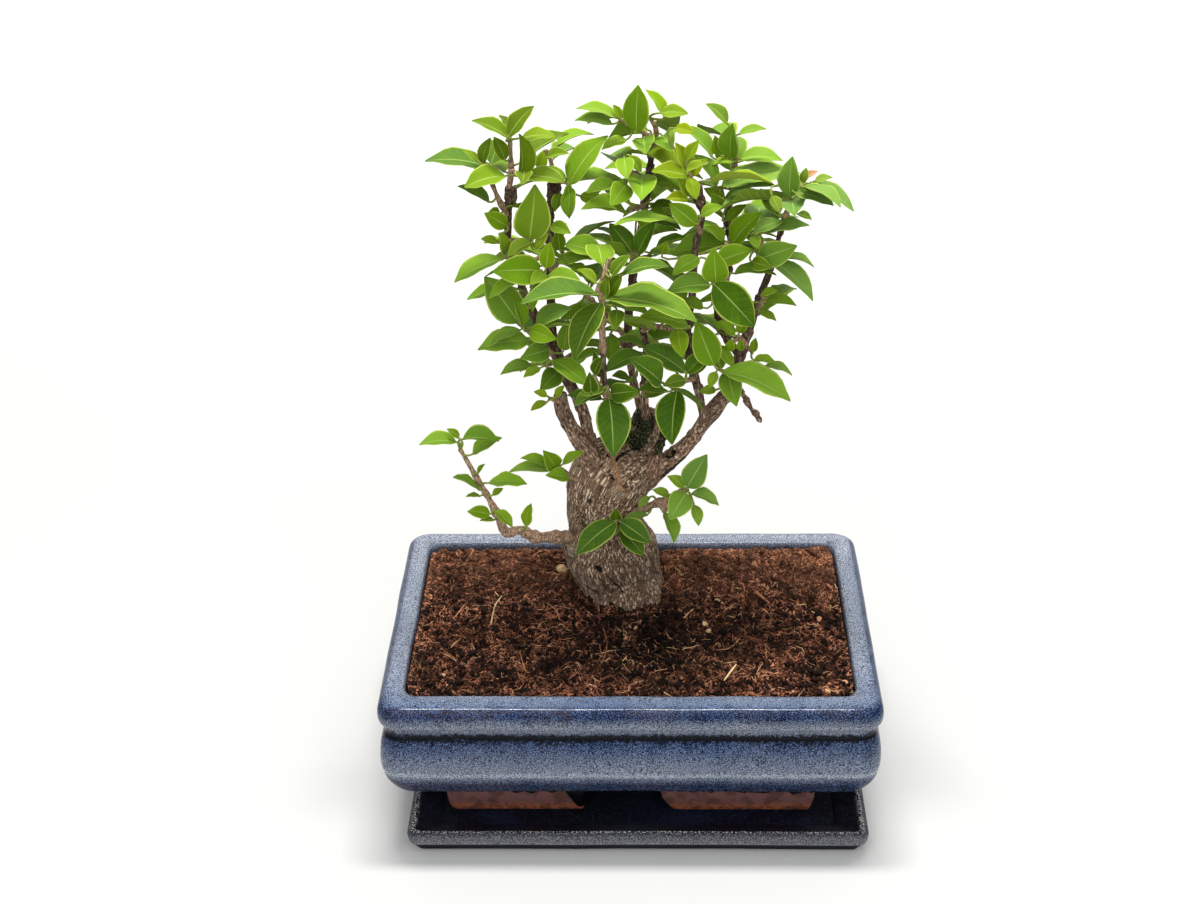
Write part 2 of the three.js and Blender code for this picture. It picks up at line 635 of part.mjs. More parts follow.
/** Where a leaf [foot, tip, width] stands, moved in depth by shift and swung by swing degrees. */
function leafPose([u0, v0, u1, v1, shown, lean = 1], stems, shift, swing) {
  let depth = 0;
  let nearest = Infinity;
  for (const stem of stems) {
    for (let i = 0; i + 1 < stem.length; i++) {
      for (let t = 0; t <= 1; t += 0.25) {
        const [u, v, y] = [0, 1, 2].map((k) => along(stem[i][k], stem[i + 1][k], t));
        const distance = Math.hypot(u - u0, v - v0);
        if (distance < nearest) {
          nearest = distance;
          depth = y;
        }
      }
    }
  }
  const foot = place(u0, v0, depth - STALK.standOff * lean + shift);
  const unit = unitAt(foot);
  const flat = RIGHT.clone().multiplyScalar(u1 - u0).addScaledVector(UP, v0 - v1);
  const seen = flat.length() * unit;
  const width = Math.max(shown * unit, LEAF.widthShare * seen);
  const length = Math.max(seen * LEAF.leastSlack, width / LEAF.widthShare);
  const lift = Math.acos(seen / length) * lean + degrees(swing);
  const axis = flat.normalize().multiplyScalar(Math.cos(lift)).addScaledVector(FORWARD, -Math.sin(lift));
  const toEye = EYE.clone().sub(foot).normalize();
  const facing = toEye.addScaledVector(axis, -toEye.dot(axis)).normalize();
  const across = axis.clone().cross(facing);
  const roll = Math.min(Math.acos(Math.min(1, (shown * unit) / width)), degrees(LEAF.rollLimit));
  const turns = [1, -1].map((sign) => facing.clone().multiplyScalar(Math.cos(roll))
    .addScaledVector(across, sign * Math.sin(roll)));
  const normal = turns[0].z > turns[1].z ? turns[0] : turns[1];
  return { foot, axis, normal, length, width };
}

/** A leaf of the growth rule: from a stem, away from the eye, its face to the sky. */
function grownPose(stems, seed) {
  const draw = drawsFrom(seed);
  const stem = stems[Math.floor(draw() * stems.length)];
  const span = within(GROWTH.along, draw()) * (stem.length - 1);
  const i = Math.min(Math.floor(span), stem.length - 2);
  const [u, v, y] = [0, 1, 2].map((k) => along(stem[i][k], stem[i + 1][k], span - i));
  const heading = degrees(within(GROWTH.heading, draw()));
  const climb = degrees(within(GROWTH.climb, draw()));
  const axis = vector(
    Math.cos(heading) * Math.cos(climb), Math.sin(heading) * Math.cos(climb), Math.sin(climb),
  );
  const length = within(GROWTH.length, draw());
  const foot = place(u, v, y).addScaledVector(axis, within(GROWTH.stalk, draw()));
  const sky = vector(within(GROWTH.skyX, draw()), within(GROWTH.skyY, draw()), 1);
  const normal = sky.addScaledVector(axis, -sky.dot(axis)).normalize();
  return { foot, axis, normal, length, width: length * LEAF.widthShare };
}

/** Places along a shoot's stems where a leaf may spring: clear of the wood and of the stems' ends. */
function leafRoots(routes) {
  const roots = routes.flatMap((route) => {
    const end = route[route.length - 1];
    const places = [];
    for (let i = 0; i + 1 < route.length; i++) {
      for (let step = 0; step < STALK.steps; step++) {
        places.push(route[i].clone().lerp(route[i + 1], step / STALK.steps));
      }
    }
    return places.filter((at) => at.distanceTo(end) > STALK.fromEnd);
  });
  return roots.filter((at) => woodDistance(at) > STALK.fromWood);
}

const nearest = (places, at) => places.reduce((best, other) => (
  other.distanceTo(at) < best.distanceTo(at) ? other : best
));

/**
 * Closed leaf: a stalk from the stem to the foot, then a folded, arched blade that is thick at the
 * rib and thin at the margin. Without its stalk it is the blade alone, side and face larger.
 */
function leafSolid({ foot, axis, normal, length, width }, root = null, side = 0, face = 0) {
  const across = axis.clone().cross(normal);
  const on = (share, out, rise) => foot.clone()
    .addScaledVector(axis, share * length)
    .addScaledVector(across, out)
    .addScaledVector(normal, rise + LEAF.bow * length * 4 * share * (1 - share));
  const start = root ?? on(-(1 + side) / length, 0, 0);
  const rise = foot.clone().sub(start).normalize();
  const bend = rise.clone().add(axis).normalize();
  const footAcross = bend.clone().cross(normal).normalize();
  const footUp = footAcross.clone().cross(bend);
  const stalk = STALK.half + side;
  const points = [
    start.clone().addScaledVector(rise, root ? -STALK.sink : 0),
    foot.clone().addScaledVector(footAcross, stalk).addScaledVector(footUp, face),
    foot.clone().addScaledVector(footAcross, -stalk).addScaledVector(footUp, face),
    foot.clone().addScaledVector(footUp, -STALK.deep - face),
  ];
  for (const [share, half] of OUTLINES.find(({ from }) => length > from).stations) {
    const out = half * width + side;
    const lift = out * Math.sin(degrees(LEAF.fold));
    points.push(
      on(share, out, lift), on(share, -out, lift), on(share, 0, -LEAF.ribThick - face), on(share, 0, face),
    );
  }
  const tip = points.length;
  points.push(on(1 + side / length, 0, 0));
  const faces = [
    [0, 1, 2], [0, 3, 1], [0, 2, 3],
    [2, 1, 7], [1, 4, 7], [2, 7, 5], [1, 6, 4], [1, 3, 6], [3, 5, 6], [3, 2, 5],
  ];
  for (let right = 4; right + 4 < tip; right += 4) {
    const [left, keel, rib] = [right + 1, right + 2, right + 3];
    faces.push(
      [right, right + 4, rib + 4], [right, rib + 4, rib], [rib, rib + 4, left + 4], [rib, left + 4, left],
      [right, keel + 4, right + 4], [right, keel, keel + 4],
      [keel, left + 4, keel + 4], [keel, left, left + 4],
    );
  }
  const right = tip - 4;
  faces.push(
    [right, tip, right + 3], [right + 3, tip, right + 1],
    [right, right + 2, tip], [right + 2, right + 1, tip],
  );
  return solidOf(shell(points, faces));
}

// ---------------------------------------------------------------- leafy shoots

const boxesMeet = (a, b) => [0, 1, 2].every((k) => a.min[k] < b.max[k] && b.min[k] < a.max[k]);

const tipOf = ({ foot, axis, length }) => foot.clone().addScaledVector(axis, length);

const inside = (pose) => {
  const tip = tipOf(pose);
  return Math.abs(tip.x) < GROWTH.limitX && Math.abs(tip.y) < GROWTH.limitY;
};

/** Whether a leaf's tip is seen within the crown's outline, which doesn't bound what grows below it. */
function withinCrown(pose) {
  const [column, row] = seenAt(tipOf(pose));
  const i = CROWN.findIndex(([lower]) => row < lower);
  if (i < 1) return i < 0;
  const share = (row - CROWN[i - 1][0]) / (CROWN[i][0] - CROWN[i - 1][0]);
  const [left, right] = [1, 2].map((side) => along(CROWN[i - 1][side], CROWN[i][side], share));
  return column > left && column < right;
}

function leafyShoots(wood, grownWood) {
  const shoots = Object.entries(SHOOTS).map(([name, shoot], number) => {
    const { stems, leaves, fill, girth = STEM.girth } = shoot;
    const routes = stems.map((stem) => stem.map(([u, v, y]) => place(u, v, y)));
    const stemSolid = joined(routes.map((route) => {
      const radii = route.map((_, i) => within(girth, i / (route.length - 1)));
      return solidOf(limb(route, radii, STEM.sides));
    }));
    return { name, number, stems, leaves, fill, roots: leafRoots(routes), parts: [stemSolid] };
  });
  const taken = shoots.map(({ parts: [solid] }, owner) => (
    { solid, blade: solid, owner, box: solid.boundingBox() }
  ));
  taken.push({ solid: wood, blade: wood, owner: -1, box: wood.boundingBox() });

  const isClear = (solid, blade, owner) => {
    const box = solid.boundingBox();
    return taken.every((other) => (
      !boxesMeet(box, other.box)
      || (other.owner === owner ? blade.intersect(other.blade) : solid.intersect(other.solid)).isEmpty()
    ));
  };
  const tryLeaf = (shoot, pose) => {
    if (!inside(pose)) return false;
    const root = nearest(shoot.roots, pose.foot);
    const reach = pose.foot.clone().sub(root).normalize();
    if (reach.dot(pose.axis) < STALK.leastAlong) return false;
    const blade = leafSolid(pose);
    if (!isClear(leafSolid(pose, root, CLEAR.side, CLEAR.face), blade, shoot.number)) return false;
    const solid = leafSolid(pose, root);
    taken.push({ solid, blade, owner: shoot.number, box: solid.boundingBox() });
    shoot.parts.push(solid);
    return true;
  };

  for (const shoot of shoots) {
    for (const leaf of shoot.leaves) {
      SHIFTS.some((shift) => SWINGS.some((swing) => (
        tryLeaf(shoot, leafPose(leaf, shoot.stems, shift, swing))
      )));
    }
  }
  for (const shoot of shoots) {
    for (let n = 0; n < shoot.fill; n++) {
      for (let attempt = 0; attempt < GROWTH.tries; attempt++) {
        const seed = shoot.number * 10000 + n * 100 + attempt;
        const pose = grownPose(shoot.stems, seed);
        if (withinCrown(pose) && tryLeaf(shoot, pose)) break;
      }
    }
  }
  return shoots.map(({ name, parts }) => {
    const pieces = joined(parts).subtract(grownWood).decompose();
    const largest = pieces.reduce((a, b) => (a.volume() > b.volume() ? a : b));
    return [name, largest];
  });
}

// ---------------------------------------------------------------- pot, tray, soil

/** Corner radius that tightens with the inset. */
const cornerAt = ({ corner, leastCorner, cornerEase }, inset) => (
  Math.max(corner - inset * cornerEase, leastCorner)
);

function potSolid() {
  const { halfX, halfY, top, bellyIn, bellyHigh, bellySteps, underside, floor, wallIn, floorIn } = POT;
  const ring = (inset, z) => roundedRing(halfX - inset, halfY - inset, cornerAt(POT, inset), z);
  const belly = [];
  for (let i = bellySteps; i >= 0; i--) {
    const angle = (i / bellySteps) * Math.PI / 2;
    belly.push(ring(bellyIn * (1 - Math.cos(angle)), underside + bellyHigh * (1 - Math.sin(angle))));
  }
  const upper = [...POT.shoulder, ...POT.groove, ...POT.rim];
  const outer = upper.map(([inset, below]) => ring(inset, top - below));
  const inner = [ring(wallIn, floor + POT.floorRound), ring(floorIn, floor)];
  let pot = solidOf(loft([...belly, ...outer, ...inner]));
  for (const sx of [-1, 1]) {
    for (const sy of [-1, 1]) pot = pot.add(footSolid(sx, sy));
    const drill = new THREE.CylinderGeometry(POT.holeRadius, POT.holeRadius, floor, 20);
    pot = pot.subtract(solidOf(drill.rotateX(Math.PI / 2).translate(sx * POT.holeX, 0, floor)));
  }
  return pot;
}

/** Corner foot: an L in plan whose arms rise at their ends and lean in towards the ground. */
function footSolid(sx, sy) {
  const { low, bend, rootIn, outerX, innerX, frontY, armY, wide, splay, endLean, backLean } = FEET;
  const outline = (lean) => {
    const [endX, endY] = [innerX + lean * endLean, armY + lean * endLean];
    const [backX, backY] = [outerX - wide + lean * backLean, frontY - wide + lean * backLean];
    const [faceX, faceY] = [outerX - lean, frontY - lean];
    return [[endX, faceY], [faceX, faceY], [faceX, endY], [backX, endY], [backX, backY], [endX, backY]];
  };
  const levels = [[splay, low], [splay / 2, bend], [0, POT.underside + rootIn]];
  const rings = levels.map(([lean, z]) => outline(lean).map(([x, y]) => vector(sx * x, sy * y, z)));
  if (sx * sy > 0) rings.forEach((ring) => ring.reverse());
  const count = rings[0].length;
  const flat = rings[0].map(({ x, y }) => new THREE.Vector2(x, y));
  const cap = THREE.ShapeUtils.triangulateShape(flat, []);
  const faces = [];
  for (let r = 0; r + 1 < rings.length; r++) {
    for (let i = 0; i < count; i++) {
      const j = (i + 1) % count;
      const [a, b] = [r * count, (r + 1) * count];
      faces.push([a + i, a + j, b + j], [a + i, b + j, b + i]);
    }
  }
  const last = (rings.length - 1) * count;
  for (const [i, j, k] of cap) {
    const counterClockwise = new THREE.Vector2().subVectors(flat[j], flat[i])
      .cross(new THREE.Vector2().subVectors(flat[k], flat[i])) > 0;
    const [b, c] = counterClockwise ? [j, k] : [k, j];
    faces.push([i, c, b], [last + i, last + b, last + c]);
  }
  return solidOf(shell(rings.flat(), faces));
}

function traySolid() {
  const rings = [...TRAY.base, ...TRAY.wall, ...TRAY.lip].map(([inset, z]) => (
    roundedRing(TRAY.halfX - inset, TRAY.halfY - inset, cornerAt(TRAY, inset), z)
  ));
  return solidOf(loft(rings)).translate([TRAY.shiftX, 0, 0]);
}

/** Height of the soil: higher at the front, hollowed before the trunk, uneven by two waves. */
function soilTop(x, y) {
  const { backTop, frontTop, hollow, waves } = SOIL;
  const share = (y + POT.halfY) / (2 * POT.halfY);
  const spread = ((x - hollow.x) ** 2 + (y - hollow.y) ** 2) / hollow.wide ** 2;
  const uneven = waves.map(([high, kx, ky]) => high * Math.sin(kx * x + 1) * Math.cos(ky * y));
  return along(frontTop, backTop, share) - hollow.deep * Math.exp(-spread) + uneven[0] + uneven[1];
}

function soilSolid(grownWood) {
  const { footIn, footHigh, edgeIn, corner } = SOIL;
  const inset = POT.wallIn + GAP;
  const ring = (extra, z) => roundedRing(POT.halfX - inset - extra, POT.halfY - inset - extra, corner, z);
  const rings = [ring(footIn, POT.floor + GAP), ring(edgeIn, POT.floor + footHigh)];
  const edge = ring(edgeIn, 0);
  for (let i = 0; i < SOIL.rings; i++) {
    const share = 1 - i / SOIL.rings;
    rings.push(edge.map(({ x, y }) => vector(x * share, y * share, soilTop(x * share, y * share))));
  }
  let soil = solidOf(loft(rings)).subtract(grownWood).subtract(grownWood.translate([0, 0, -GAP]));
  for (const sx of [-1, 1]) {
    const size = SCREEN.size + 2 * GAP;
    const room = new THREE.BoxGeometry(size, size, 2 * (SCREEN.thick + 2 * GAP));
    soil = soil.subtract(solidOf(room.translate(sx * POT.holeX, 0, POT.floor)));
  }
  return soil;
}

/** Square plastic mesh that keeps the soil in over a drainage hole. */
function screenSolid(sx) {
  const { size, thick, cells, bar } = SCREEN;
  const box = (x, y, side, depth) => solidOf(new THREE.BoxGeometry(side, side, depth).translate(x, y, 0));
  const pitch = (size - bar) / cells;
  const centre = (k) => (k - (cells - 1) / 2) * pitch;
  let screen = box(0, 0, size, thick);
  for (let i = 0; i < cells; i++) {
    for (let j = 0; j < cells; j++) {
      screen = screen.subtract(box(centre(i), centre(j), pitch - bar, 2 * thick));
    }
  }
  return screen.translate([sx * POT.holeX, 0, POT.floor + GAP + thick / 2]);
}

// ---------------------------------------------------------------- assembly

const finish = (color, roughness) => new THREE.MeshStandardMaterial({ color, roughness, metalness: 0 });
const FINISHES = {
  glaze: finish(0x2c4a86, 0.18),
  trayGlaze: finish(0x141c33, 0.15),
  soil: finish(0x45261a, 0.95),
  bark: finish(0x7b6552, 0.85),
  leaf: finish(0x4f8a2c, 0.45),
  screen: finish(0x202020, 0.6),
};

const bonsai = new THREE.Group();

function addPiece(name, geometry, material) {
  const mesh = new THREE.Mesh(geometry, material);
  mesh.name = name;
  bonsai.add(mesh);
}

const wood = woodSolid();
const grownWood = woodSolid(GAP);

addPiece('tray', geometryOf(traySolid()), FINISHES.trayGlaze);
addPiece('pot', geometryOf(potSolid()), FINISHES.glaze);
addPiece('drain_screen_left', geometryOf(screenSolid(-1)), FINISHES.screen);
addPiece('drain_screen_right', geometryOf(screenSolid(1)), FINISHES.screen);
addPiece('soil', geometryOf(soilSolid(grownWood)), FINISHES.soil);
addPiece('trunk', geometryOf(wood), FINISHES.bark);
for (const [name, solid] of leafyShoots(wood, grownWood)) {
  addPiece(`shoot_${name}`, geometryOf(solid), FINISHES.leaf);
}

export default bonsai;
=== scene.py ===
"""Looks of a potted bougainvillea bonsai: bark, leaves, coir soil, speckled glaze, terracotta feet.

Lengths are millimetres until a mesh is made; +Z is up and -Y is the front. A form is a function of two
parameters worked out as whole arrays: rings carried along a path, a profile carried round a rounded
rectangle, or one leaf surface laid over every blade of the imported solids.
"""

import math

import bpy
import numpy as np
from mathutils import Matrix, Vector


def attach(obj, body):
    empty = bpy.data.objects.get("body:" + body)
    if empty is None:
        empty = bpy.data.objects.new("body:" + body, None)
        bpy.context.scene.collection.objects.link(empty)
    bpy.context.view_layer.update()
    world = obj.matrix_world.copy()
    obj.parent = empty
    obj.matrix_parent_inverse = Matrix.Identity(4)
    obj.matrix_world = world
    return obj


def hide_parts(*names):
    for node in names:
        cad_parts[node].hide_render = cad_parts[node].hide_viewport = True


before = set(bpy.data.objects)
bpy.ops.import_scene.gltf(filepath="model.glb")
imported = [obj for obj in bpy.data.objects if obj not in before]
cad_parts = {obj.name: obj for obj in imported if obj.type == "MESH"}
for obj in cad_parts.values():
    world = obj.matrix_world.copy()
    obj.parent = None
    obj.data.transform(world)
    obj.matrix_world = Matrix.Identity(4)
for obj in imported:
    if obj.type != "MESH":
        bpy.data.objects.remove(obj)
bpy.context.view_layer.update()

MM = 0.001
BODY = "root"

# ------------------------------------------------------------------ sizes shared with the solids

POT_HALF = np.array([105.0, 72.5])
POT_CORNER, POT_LEAST_CORNER, POT_CORNER_EASE = 9.0, 7.0, 0.2
POT_UNDERSIDE, POT_FLOOR = 22.5, 28.0
HOLE_X, HOLE_RADIUS = 48.0, 7.0
FEET = dict(low=6.0, bend=11.0, root=3.5, outer=79.0, inner=(19.0, 12.5), front=58.0, arm=24.0,
            wide=9.0, splay=3.5, end_lean=(0.4, 1.6), arm_lean=2.0, side_lean=0.5, back_lean=0.3)
TRAY_HALF, TRAY_SHIFT = np.array([98.0, 78.0]), 3.0
TRAY_CORNER, TRAY_LEAST_CORNER, TRAY_CORNER_EASE = 4.0, 3.0, 0.3
SOIL_BACK, SOIL_FRONT = 66.4, 70.0
SOIL_HOLLOW = dict(deep=1.2, x=14.0, y=-4.0, wide=22.0)
SOIL_WAVES = [(0.7, 0.11, 0.13), (0.4, 0.23, 0.19)]
SOIL_EDGE, SOIL_CORNER = 11.6, 8.0

LEAF_RIB, LEAF_BOW, LEAF_FOLD = 1.2, 0.07, math.radians(16)

# The tree is set out from one eye point, in mm: a place is a column and a row of a frame 1200 wide and
# 904 high that stands REACH of its units before the eye, with the depth in Y at which it lies.
EYE = np.array([7.7, -724.8, 548.8])
REACH, FRAME_WIDE, FRAME_MIDDLE = 1960.0, 1200.0, np.array([600.0, 452.0])
YAW, PITCH, ROLL = (math.radians(angle) for angle in (-1.58, 28.63, -0.92))

# Limbs of the tree: rings of column, row and width in the frame, and depth in mm.
WOOD = {
    "trunk": [
        (636, 642, 60, 28), (633, 622, 68, 28), (629, 604, 74, 29), (623, 586, 80, 30),
        (617, 570, 85, 31), (611, 550, 91, 31), (607, 530, 77, 30), (601, 512, 67, 30),
        (604, 494, 76, 30), (612, 476, 82, 31), (626, 461, 70, 33), (636, 449, 50, 35)],
    "old_cut": [(634, 462, 50, 36), (642, 442, 42, 39), (646, 426, 36, 41), (648, 413, 28, 42)],
    "limb_left": [
        (602, 484, 30, 26), (592, 462, 22, 22), (583, 446, 18, 19), (572, 429, 16, 17),
        (563, 411, 15, 15), (560, 394, 14, 14)],
    "riser_left": [
        (604, 476, 24, 28), (592, 452, 14, 27), (587, 428, 12, 26), (581, 406, 12, 25),
        (568, 380, 11, 22), (556, 352, 12, 20), (545, 333, 9, 19), (533, 312, 9, 18),
        (520, 282, 8, 18), (509, 250, 8, 18), (508, 222, 8, 18), (509, 206, 9, 18),
        (511, 198, 14, 18), (511, 188, 13, 18)],
    "riser_left_back": [
        (558, 356, 9, 21), (552, 330, 9, 27), (551, 300, 9, 33), (550, 268, 9, 38),
        (551, 240, 8, 41), (550, 212, 8, 42), (552, 198, 11, 42), (554, 188, 14, 42), (554, 181, 12, 42)],
    "riser_front": [
        (612, 470, 16, 24), (609, 440, 9, 16), (608, 410, 7, 9), (604, 378, 7, 2), (603, 345, 6, -4)],
    "riser_middle": [
        (646, 436, 16, 42), (640, 408, 9, 43), (632, 372, 8, 44), (628, 340, 8, 45),
        (629, 308, 8, 45), (634, 270, 8, 45), (640, 235, 8, 44), (645, 205, 8, 43),
        (649, 172, 7, 42), (654, 146, 6, 41)],
    "riser_pale": [
        (642, 462, 14, 34), (646, 432, 10, 32), (645, 405, 8, 30), (645, 372, 8, 28),
        (646, 345, 7, 27), (641, 322, 7, 26)],
    "limb_right": [
        (628, 490, 34, 30), (646, 477, 26, 29), (664, 464, 20, 28), (680, 451, 17, 27),
        (692, 439, 15, 27), (702, 425, 14, 27), (712, 412, 17, 28), (718, 404, 17, 28), (725, 394, 13, 29),
        (733, 378, 12, 30), (740, 356, 11, 31), (746, 337, 10, 31), (753, 316, 9, 31),
        (761, 294, 8, 31), (769, 272, 7, 31), (776, 247, 6, 31), (783, 222, 6, 31)],
    "riser_right": [
        (705, 423, 10, 26), (700, 398, 9, 21), (694, 374, 9, 18), (689, 350, 9, 17),
        (688, 325, 8, 17), (692, 298, 8, 18), (694, 268, 8, 19), (697, 240, 7, 21),
        (703, 214, 7, 22), (701, 205, 11, 22), (698, 195, 12, 22), (697, 184, 10, 22)],
    "riser_right_back": [
        (741, 358, 9, 32), (728, 340, 8, 38), (718, 320, 8, 43), (718, 303, 8, 46),
        (727, 276, 8, 48), (731, 245, 7, 48), (728, 216, 8, 47), (733, 188, 6, 45)],
    "root_right": [(636, 582, 40, 24), (646, 596, 32, 19), (651, 608, 26, 16), (655, 622, 22, 14)],
    "root_left": [(612, 588, 34, 22), (606, 602, 28, 17), (602, 616, 24, 15)],
    "root_front": [(628, 592, 40, 19), (629, 606, 34, 14), (630, 620, 30, 12)],
    "stub_right": [(644, 484, 18, 26), (655, 458, 12, 22), (662, 440, 10, 21), (667, 430, 9, 20)],
    "dead_twig": [
        (735, 382, 6, 29), (745, 398, 6, 24), (748, 403, 7, 23), (752, 410, 5, 22), (755, 413, 9, 21),
        (757, 416, 5, 20), (759, 419, 7, 19), (762, 422, 3, 19)],
}
# Round swellings of the wood, in the same way.
BURLS = [(641, 470, 44, 30), (580, 543, 36, 26)]

# Stems of the leafy shoots: column, row, depth in mm.
STEMS = {
    "heroes_centre": [[(603, 352, -3), (602, 322, -7), (602, 300, -9), (598, 290, -10), (604, 275, -10),
                       (609, 258, -9)]],
    "hanging_centre": [[(607, 404, 8), (608, 394, 0), (607, 386, -6)],
                       [(607, 396, 2), (598, 384, -2), (594, 374, -2)]],
    "hanging_right": [[(694, 378, 18), (686, 381, 10), (679, 385, 3)]],
    "trunk_front": [[(612, 530, 18), (615, 525, 8), (617, 519, 3)]],
    "heroes_right": [[(727, 278, 46), (722, 276, 30), (716, 272, 16), (712, 276, 8)]],
    "big_leaves_right": [[(732, 236, 48), (730, 240, 34), (727, 245, 20)]],
    "lower_right": [[(735, 380, 28), (727, 374, 18), (720, 369, 12)]],
    "crown_left": [[(507, 199, 18), (511, 172, 16), (510, 140, 15)], [(511, 170, 16), (520, 177, 10)]],
    "crown_left_side": [[(508, 216, 18), (498, 198, 11), (486, 168, 8)]],
    "crown_left_back": [[(553, 190, 42), (552, 166, 40), (546, 150, 38)], [(552, 178, 41), (568, 184, 34)]],
    "left_upper": [[(508, 242, 18), (520, 240, 11), (532, 240, 6)]],
    "left_side": [[(509, 258, 18), (503, 246, 12), (500, 234, 9)]],
    "left_middle": [[(531, 308, 18), (534, 290, 8), (540, 274, 3)]],
    "left_low": [[(553, 354, 20), (540, 342, 12), (525, 328, 6)]],
    "left_bottom": [[(560, 364, 20), (554, 362, 12), (546, 366, 6)]],
    "left_cut": [[(562, 402, 14), (555, 400, 8), (549, 398, 6)]],
    "left_centre": [[(551, 270, 37), (558, 262, 28), (564, 254, 22)]],
    "centre_back": [[(628, 342, 45), (616, 326, 36), (604, 318, 30)],
                    [(614, 324, 35), (598, 306, 36), (582, 292, 34)]],
    "crown_centre": [[(654, 150, 41), (656, 130, 38), (650, 118, 34)],
                     [(655, 140, 40), (636, 128, 32), (620, 119, 30)]],
    "centre_upper": [[(649, 180, 42), (640, 176, 32), (628, 178, 26)], [(634, 177, 29), (626, 160, 24)]],
    "centre_side": [[(645, 206, 43), (636, 208, 35), (628, 212, 30)]],
    "centre_right": [[(699, 199, 22), (692, 182, 18), (687, 168, 16)]],
    "right_inner": [[(700, 232, 21), (697, 224, 14), (699, 216, 10)]],
    "centre_dark": [[(639, 247, 44), (636, 252, 34), (634, 256, 28)]],
    "centre_lower": [[(643, 330, 26), (654, 326, 20), (672, 330, 14)]],
    "centre_bottom": [[(646, 366, 27), (652, 372, 20), (658, 380, 12)], [(650, 370, 22), (640, 362, 14)]],
    "crown_right": [[(733, 192, 45), (735, 166, 40), (736, 140, 36)], [(734, 180, 43), (722, 188, 34)]],
    "crown_right_side": [[(783, 224, 31), (790, 204, 28), (798, 190, 26), (812, 184, 24)]],
    "right_upper": [[(773, 260, 31), (764, 246, 23), (754, 236, 18)]],
    "right_middle": [[(745, 342, 31), (738, 337, 23), (733, 344, 17)], [(739, 338, 24), (752, 352, 20)]],
    "right_side": [[(757, 308, 31), (762, 303, 25), (764, 296, 21)]],
    "trunk_left": [[(584, 482, 24), (571, 477, 18), (560, 469, 14), (548, 468, 11)]],
    "trunk_right": [[(628, 517, 24), (640, 511, 17), (652, 505, 12), (665, 500, 9), (676, 494, 7),
                     (688, 489, 5)], [(662, 501, 10), (665, 512, 6)]],
    "branch_low_left": [[(578, 537, 26), (556, 537, 16), (536, 537, 10), (520, 530, 6), (506, 532, 4),
                         (497, 514, 3), (488, 497, 3), (479, 482, 2), (470, 466, 2), (460, 449, 2)]],
    "back_left": [[(550, 262, 39), (546, 252, 52), (540, 240, 62)], [(547, 254, 50), (530, 262, 58)]],
    "back_left_low": [[(568, 378, 23), (560, 366, 38), (548, 350, 50)], [(558, 363, 40), (580, 350, 54)]],
    "back_middle": [[(634, 270, 45), (632, 258, 56), (626, 240, 64)], [(632, 260, 54), (650, 256, 64)]],
    "back_middle_low": [[(630, 360, 44), (624, 346, 55), (610, 334, 62)],
                        [(625, 348, 54), (648, 338, 62)]],
    "back_crown": [[(648, 184, 42), (640, 176, 54), (628, 170, 62)], [(642, 178, 51), (664, 168, 60)]],
    "back_right": [[(731, 244, 48), (734, 230, 57), (742, 218, 64)], [(733, 234, 54), (714, 230, 62)]],
    "back_right_low": [[(744, 344, 31), (752, 330, 44), (748, 312, 56)],
                       [(751, 328, 45), (730, 322, 56)]],
}
TWIG = (1.35, 0.8) # radii of a stem in mm, at its foot and at its tip
STOUT = {"trunk_right": (2.6, 1.1), "branch_low_left": (2.8, 1.0)}
STALK = (0.55, 0.42)
STEM_SIDES, STALK_SIDES = 8, 6
KNOB = 0.7 # how far the knobs of a stem stand out, as a share of its radius


# ------------------------------------------------------------------ arrays

def unit(vectors):
    """Vectors over their own lengths."""
    return vectors / np.linalg.norm(vectors, axis=-1, keepdims=True)


def step(value, low, high):
    """Smooth step: 0 below low, 1 above high, 3t² - 2t³ between."""
    t = np.clip((value - low) / (high - low), 0, 1)
    return t * t * (3 - 2 * t)


def eased(rows, samples):
    """Catmull-Rom curve through rows of numbers: each span is the cubic whose end slopes are half the
    difference of the neighbours."""
    rows = np.asarray(rows, float)
    padded = np.vstack([2 * rows[0] - rows[1], rows, 2 * rows[-1] - rows[-2]])
    a, b, c, d = padded[:-3], padded[1:-2], padded[2:-1], padded[3:]
    t = np.linspace(0, 1, samples, endpoint=False)[:, None, None]
    spans = b + 0.5 * t * (c - a + t * (2 * a - 5 * b + 4 * c - d + t * (3 * b - a - 3 * c + d)))
    return np.vstack([spans.transpose(1, 0, 2).reshape(-1, rows.shape[1]), rows[-1:]])


CELL_PRIMES = np.array([73856093, 19349663, 83492791]) # one for each axis of the smooth field's cells
SEED_PRIME, MIX_PRIME, LOW_BITS, LAST_BITS = 2654435761, 1274126177, 0xFFFFFFFF, 0xFFFF


def field(points, size, seed):
    """Smooth random field from 0 to 1: numbers hashed from whole cells of a size, blended by smooth
    steps."""
    scaled = np.asarray(points, float) / size + 1000.0
    cell = np.floor(scaled).astype(np.int64)
    t = scaled - cell
    t = t * t * (3 - 2 * t)
    total = np.zeros(len(scaled))
    for corner in np.ndindex(*(2,) * scaled.shape[1]):
        key = (cell + corner) * CELL_PRIMES[:scaled.shape[1]]
        mixed = np.bitwise_xor.reduce(key, axis=1) + seed * SEED_PRIME
        mixed = (mixed ^ (mixed >> 13)) * MIX_PRIME & LOW_BITS
        number = ((mixed ^ (mixed >> 16)) & LAST_BITS) / LAST_BITS
        total += number * np.where(corner, t, 1 - t).prod(axis=1)
    return total


def ridged(points, size, seed):
    """The smooth field folded at its middle into sharp ridges: 1 - |2 field - 1|."""
    return 1 - np.abs(2 * field(points, size, seed) - 1)


def bent(start, corner, end, t):
    """Curve that leaves start towards corner and joins end: (1-t)² start + 2t(1-t) corner + t² end."""
    return (1 - t) ** 2 * start + 2 * t * (1 - t) * corner + t * t * end


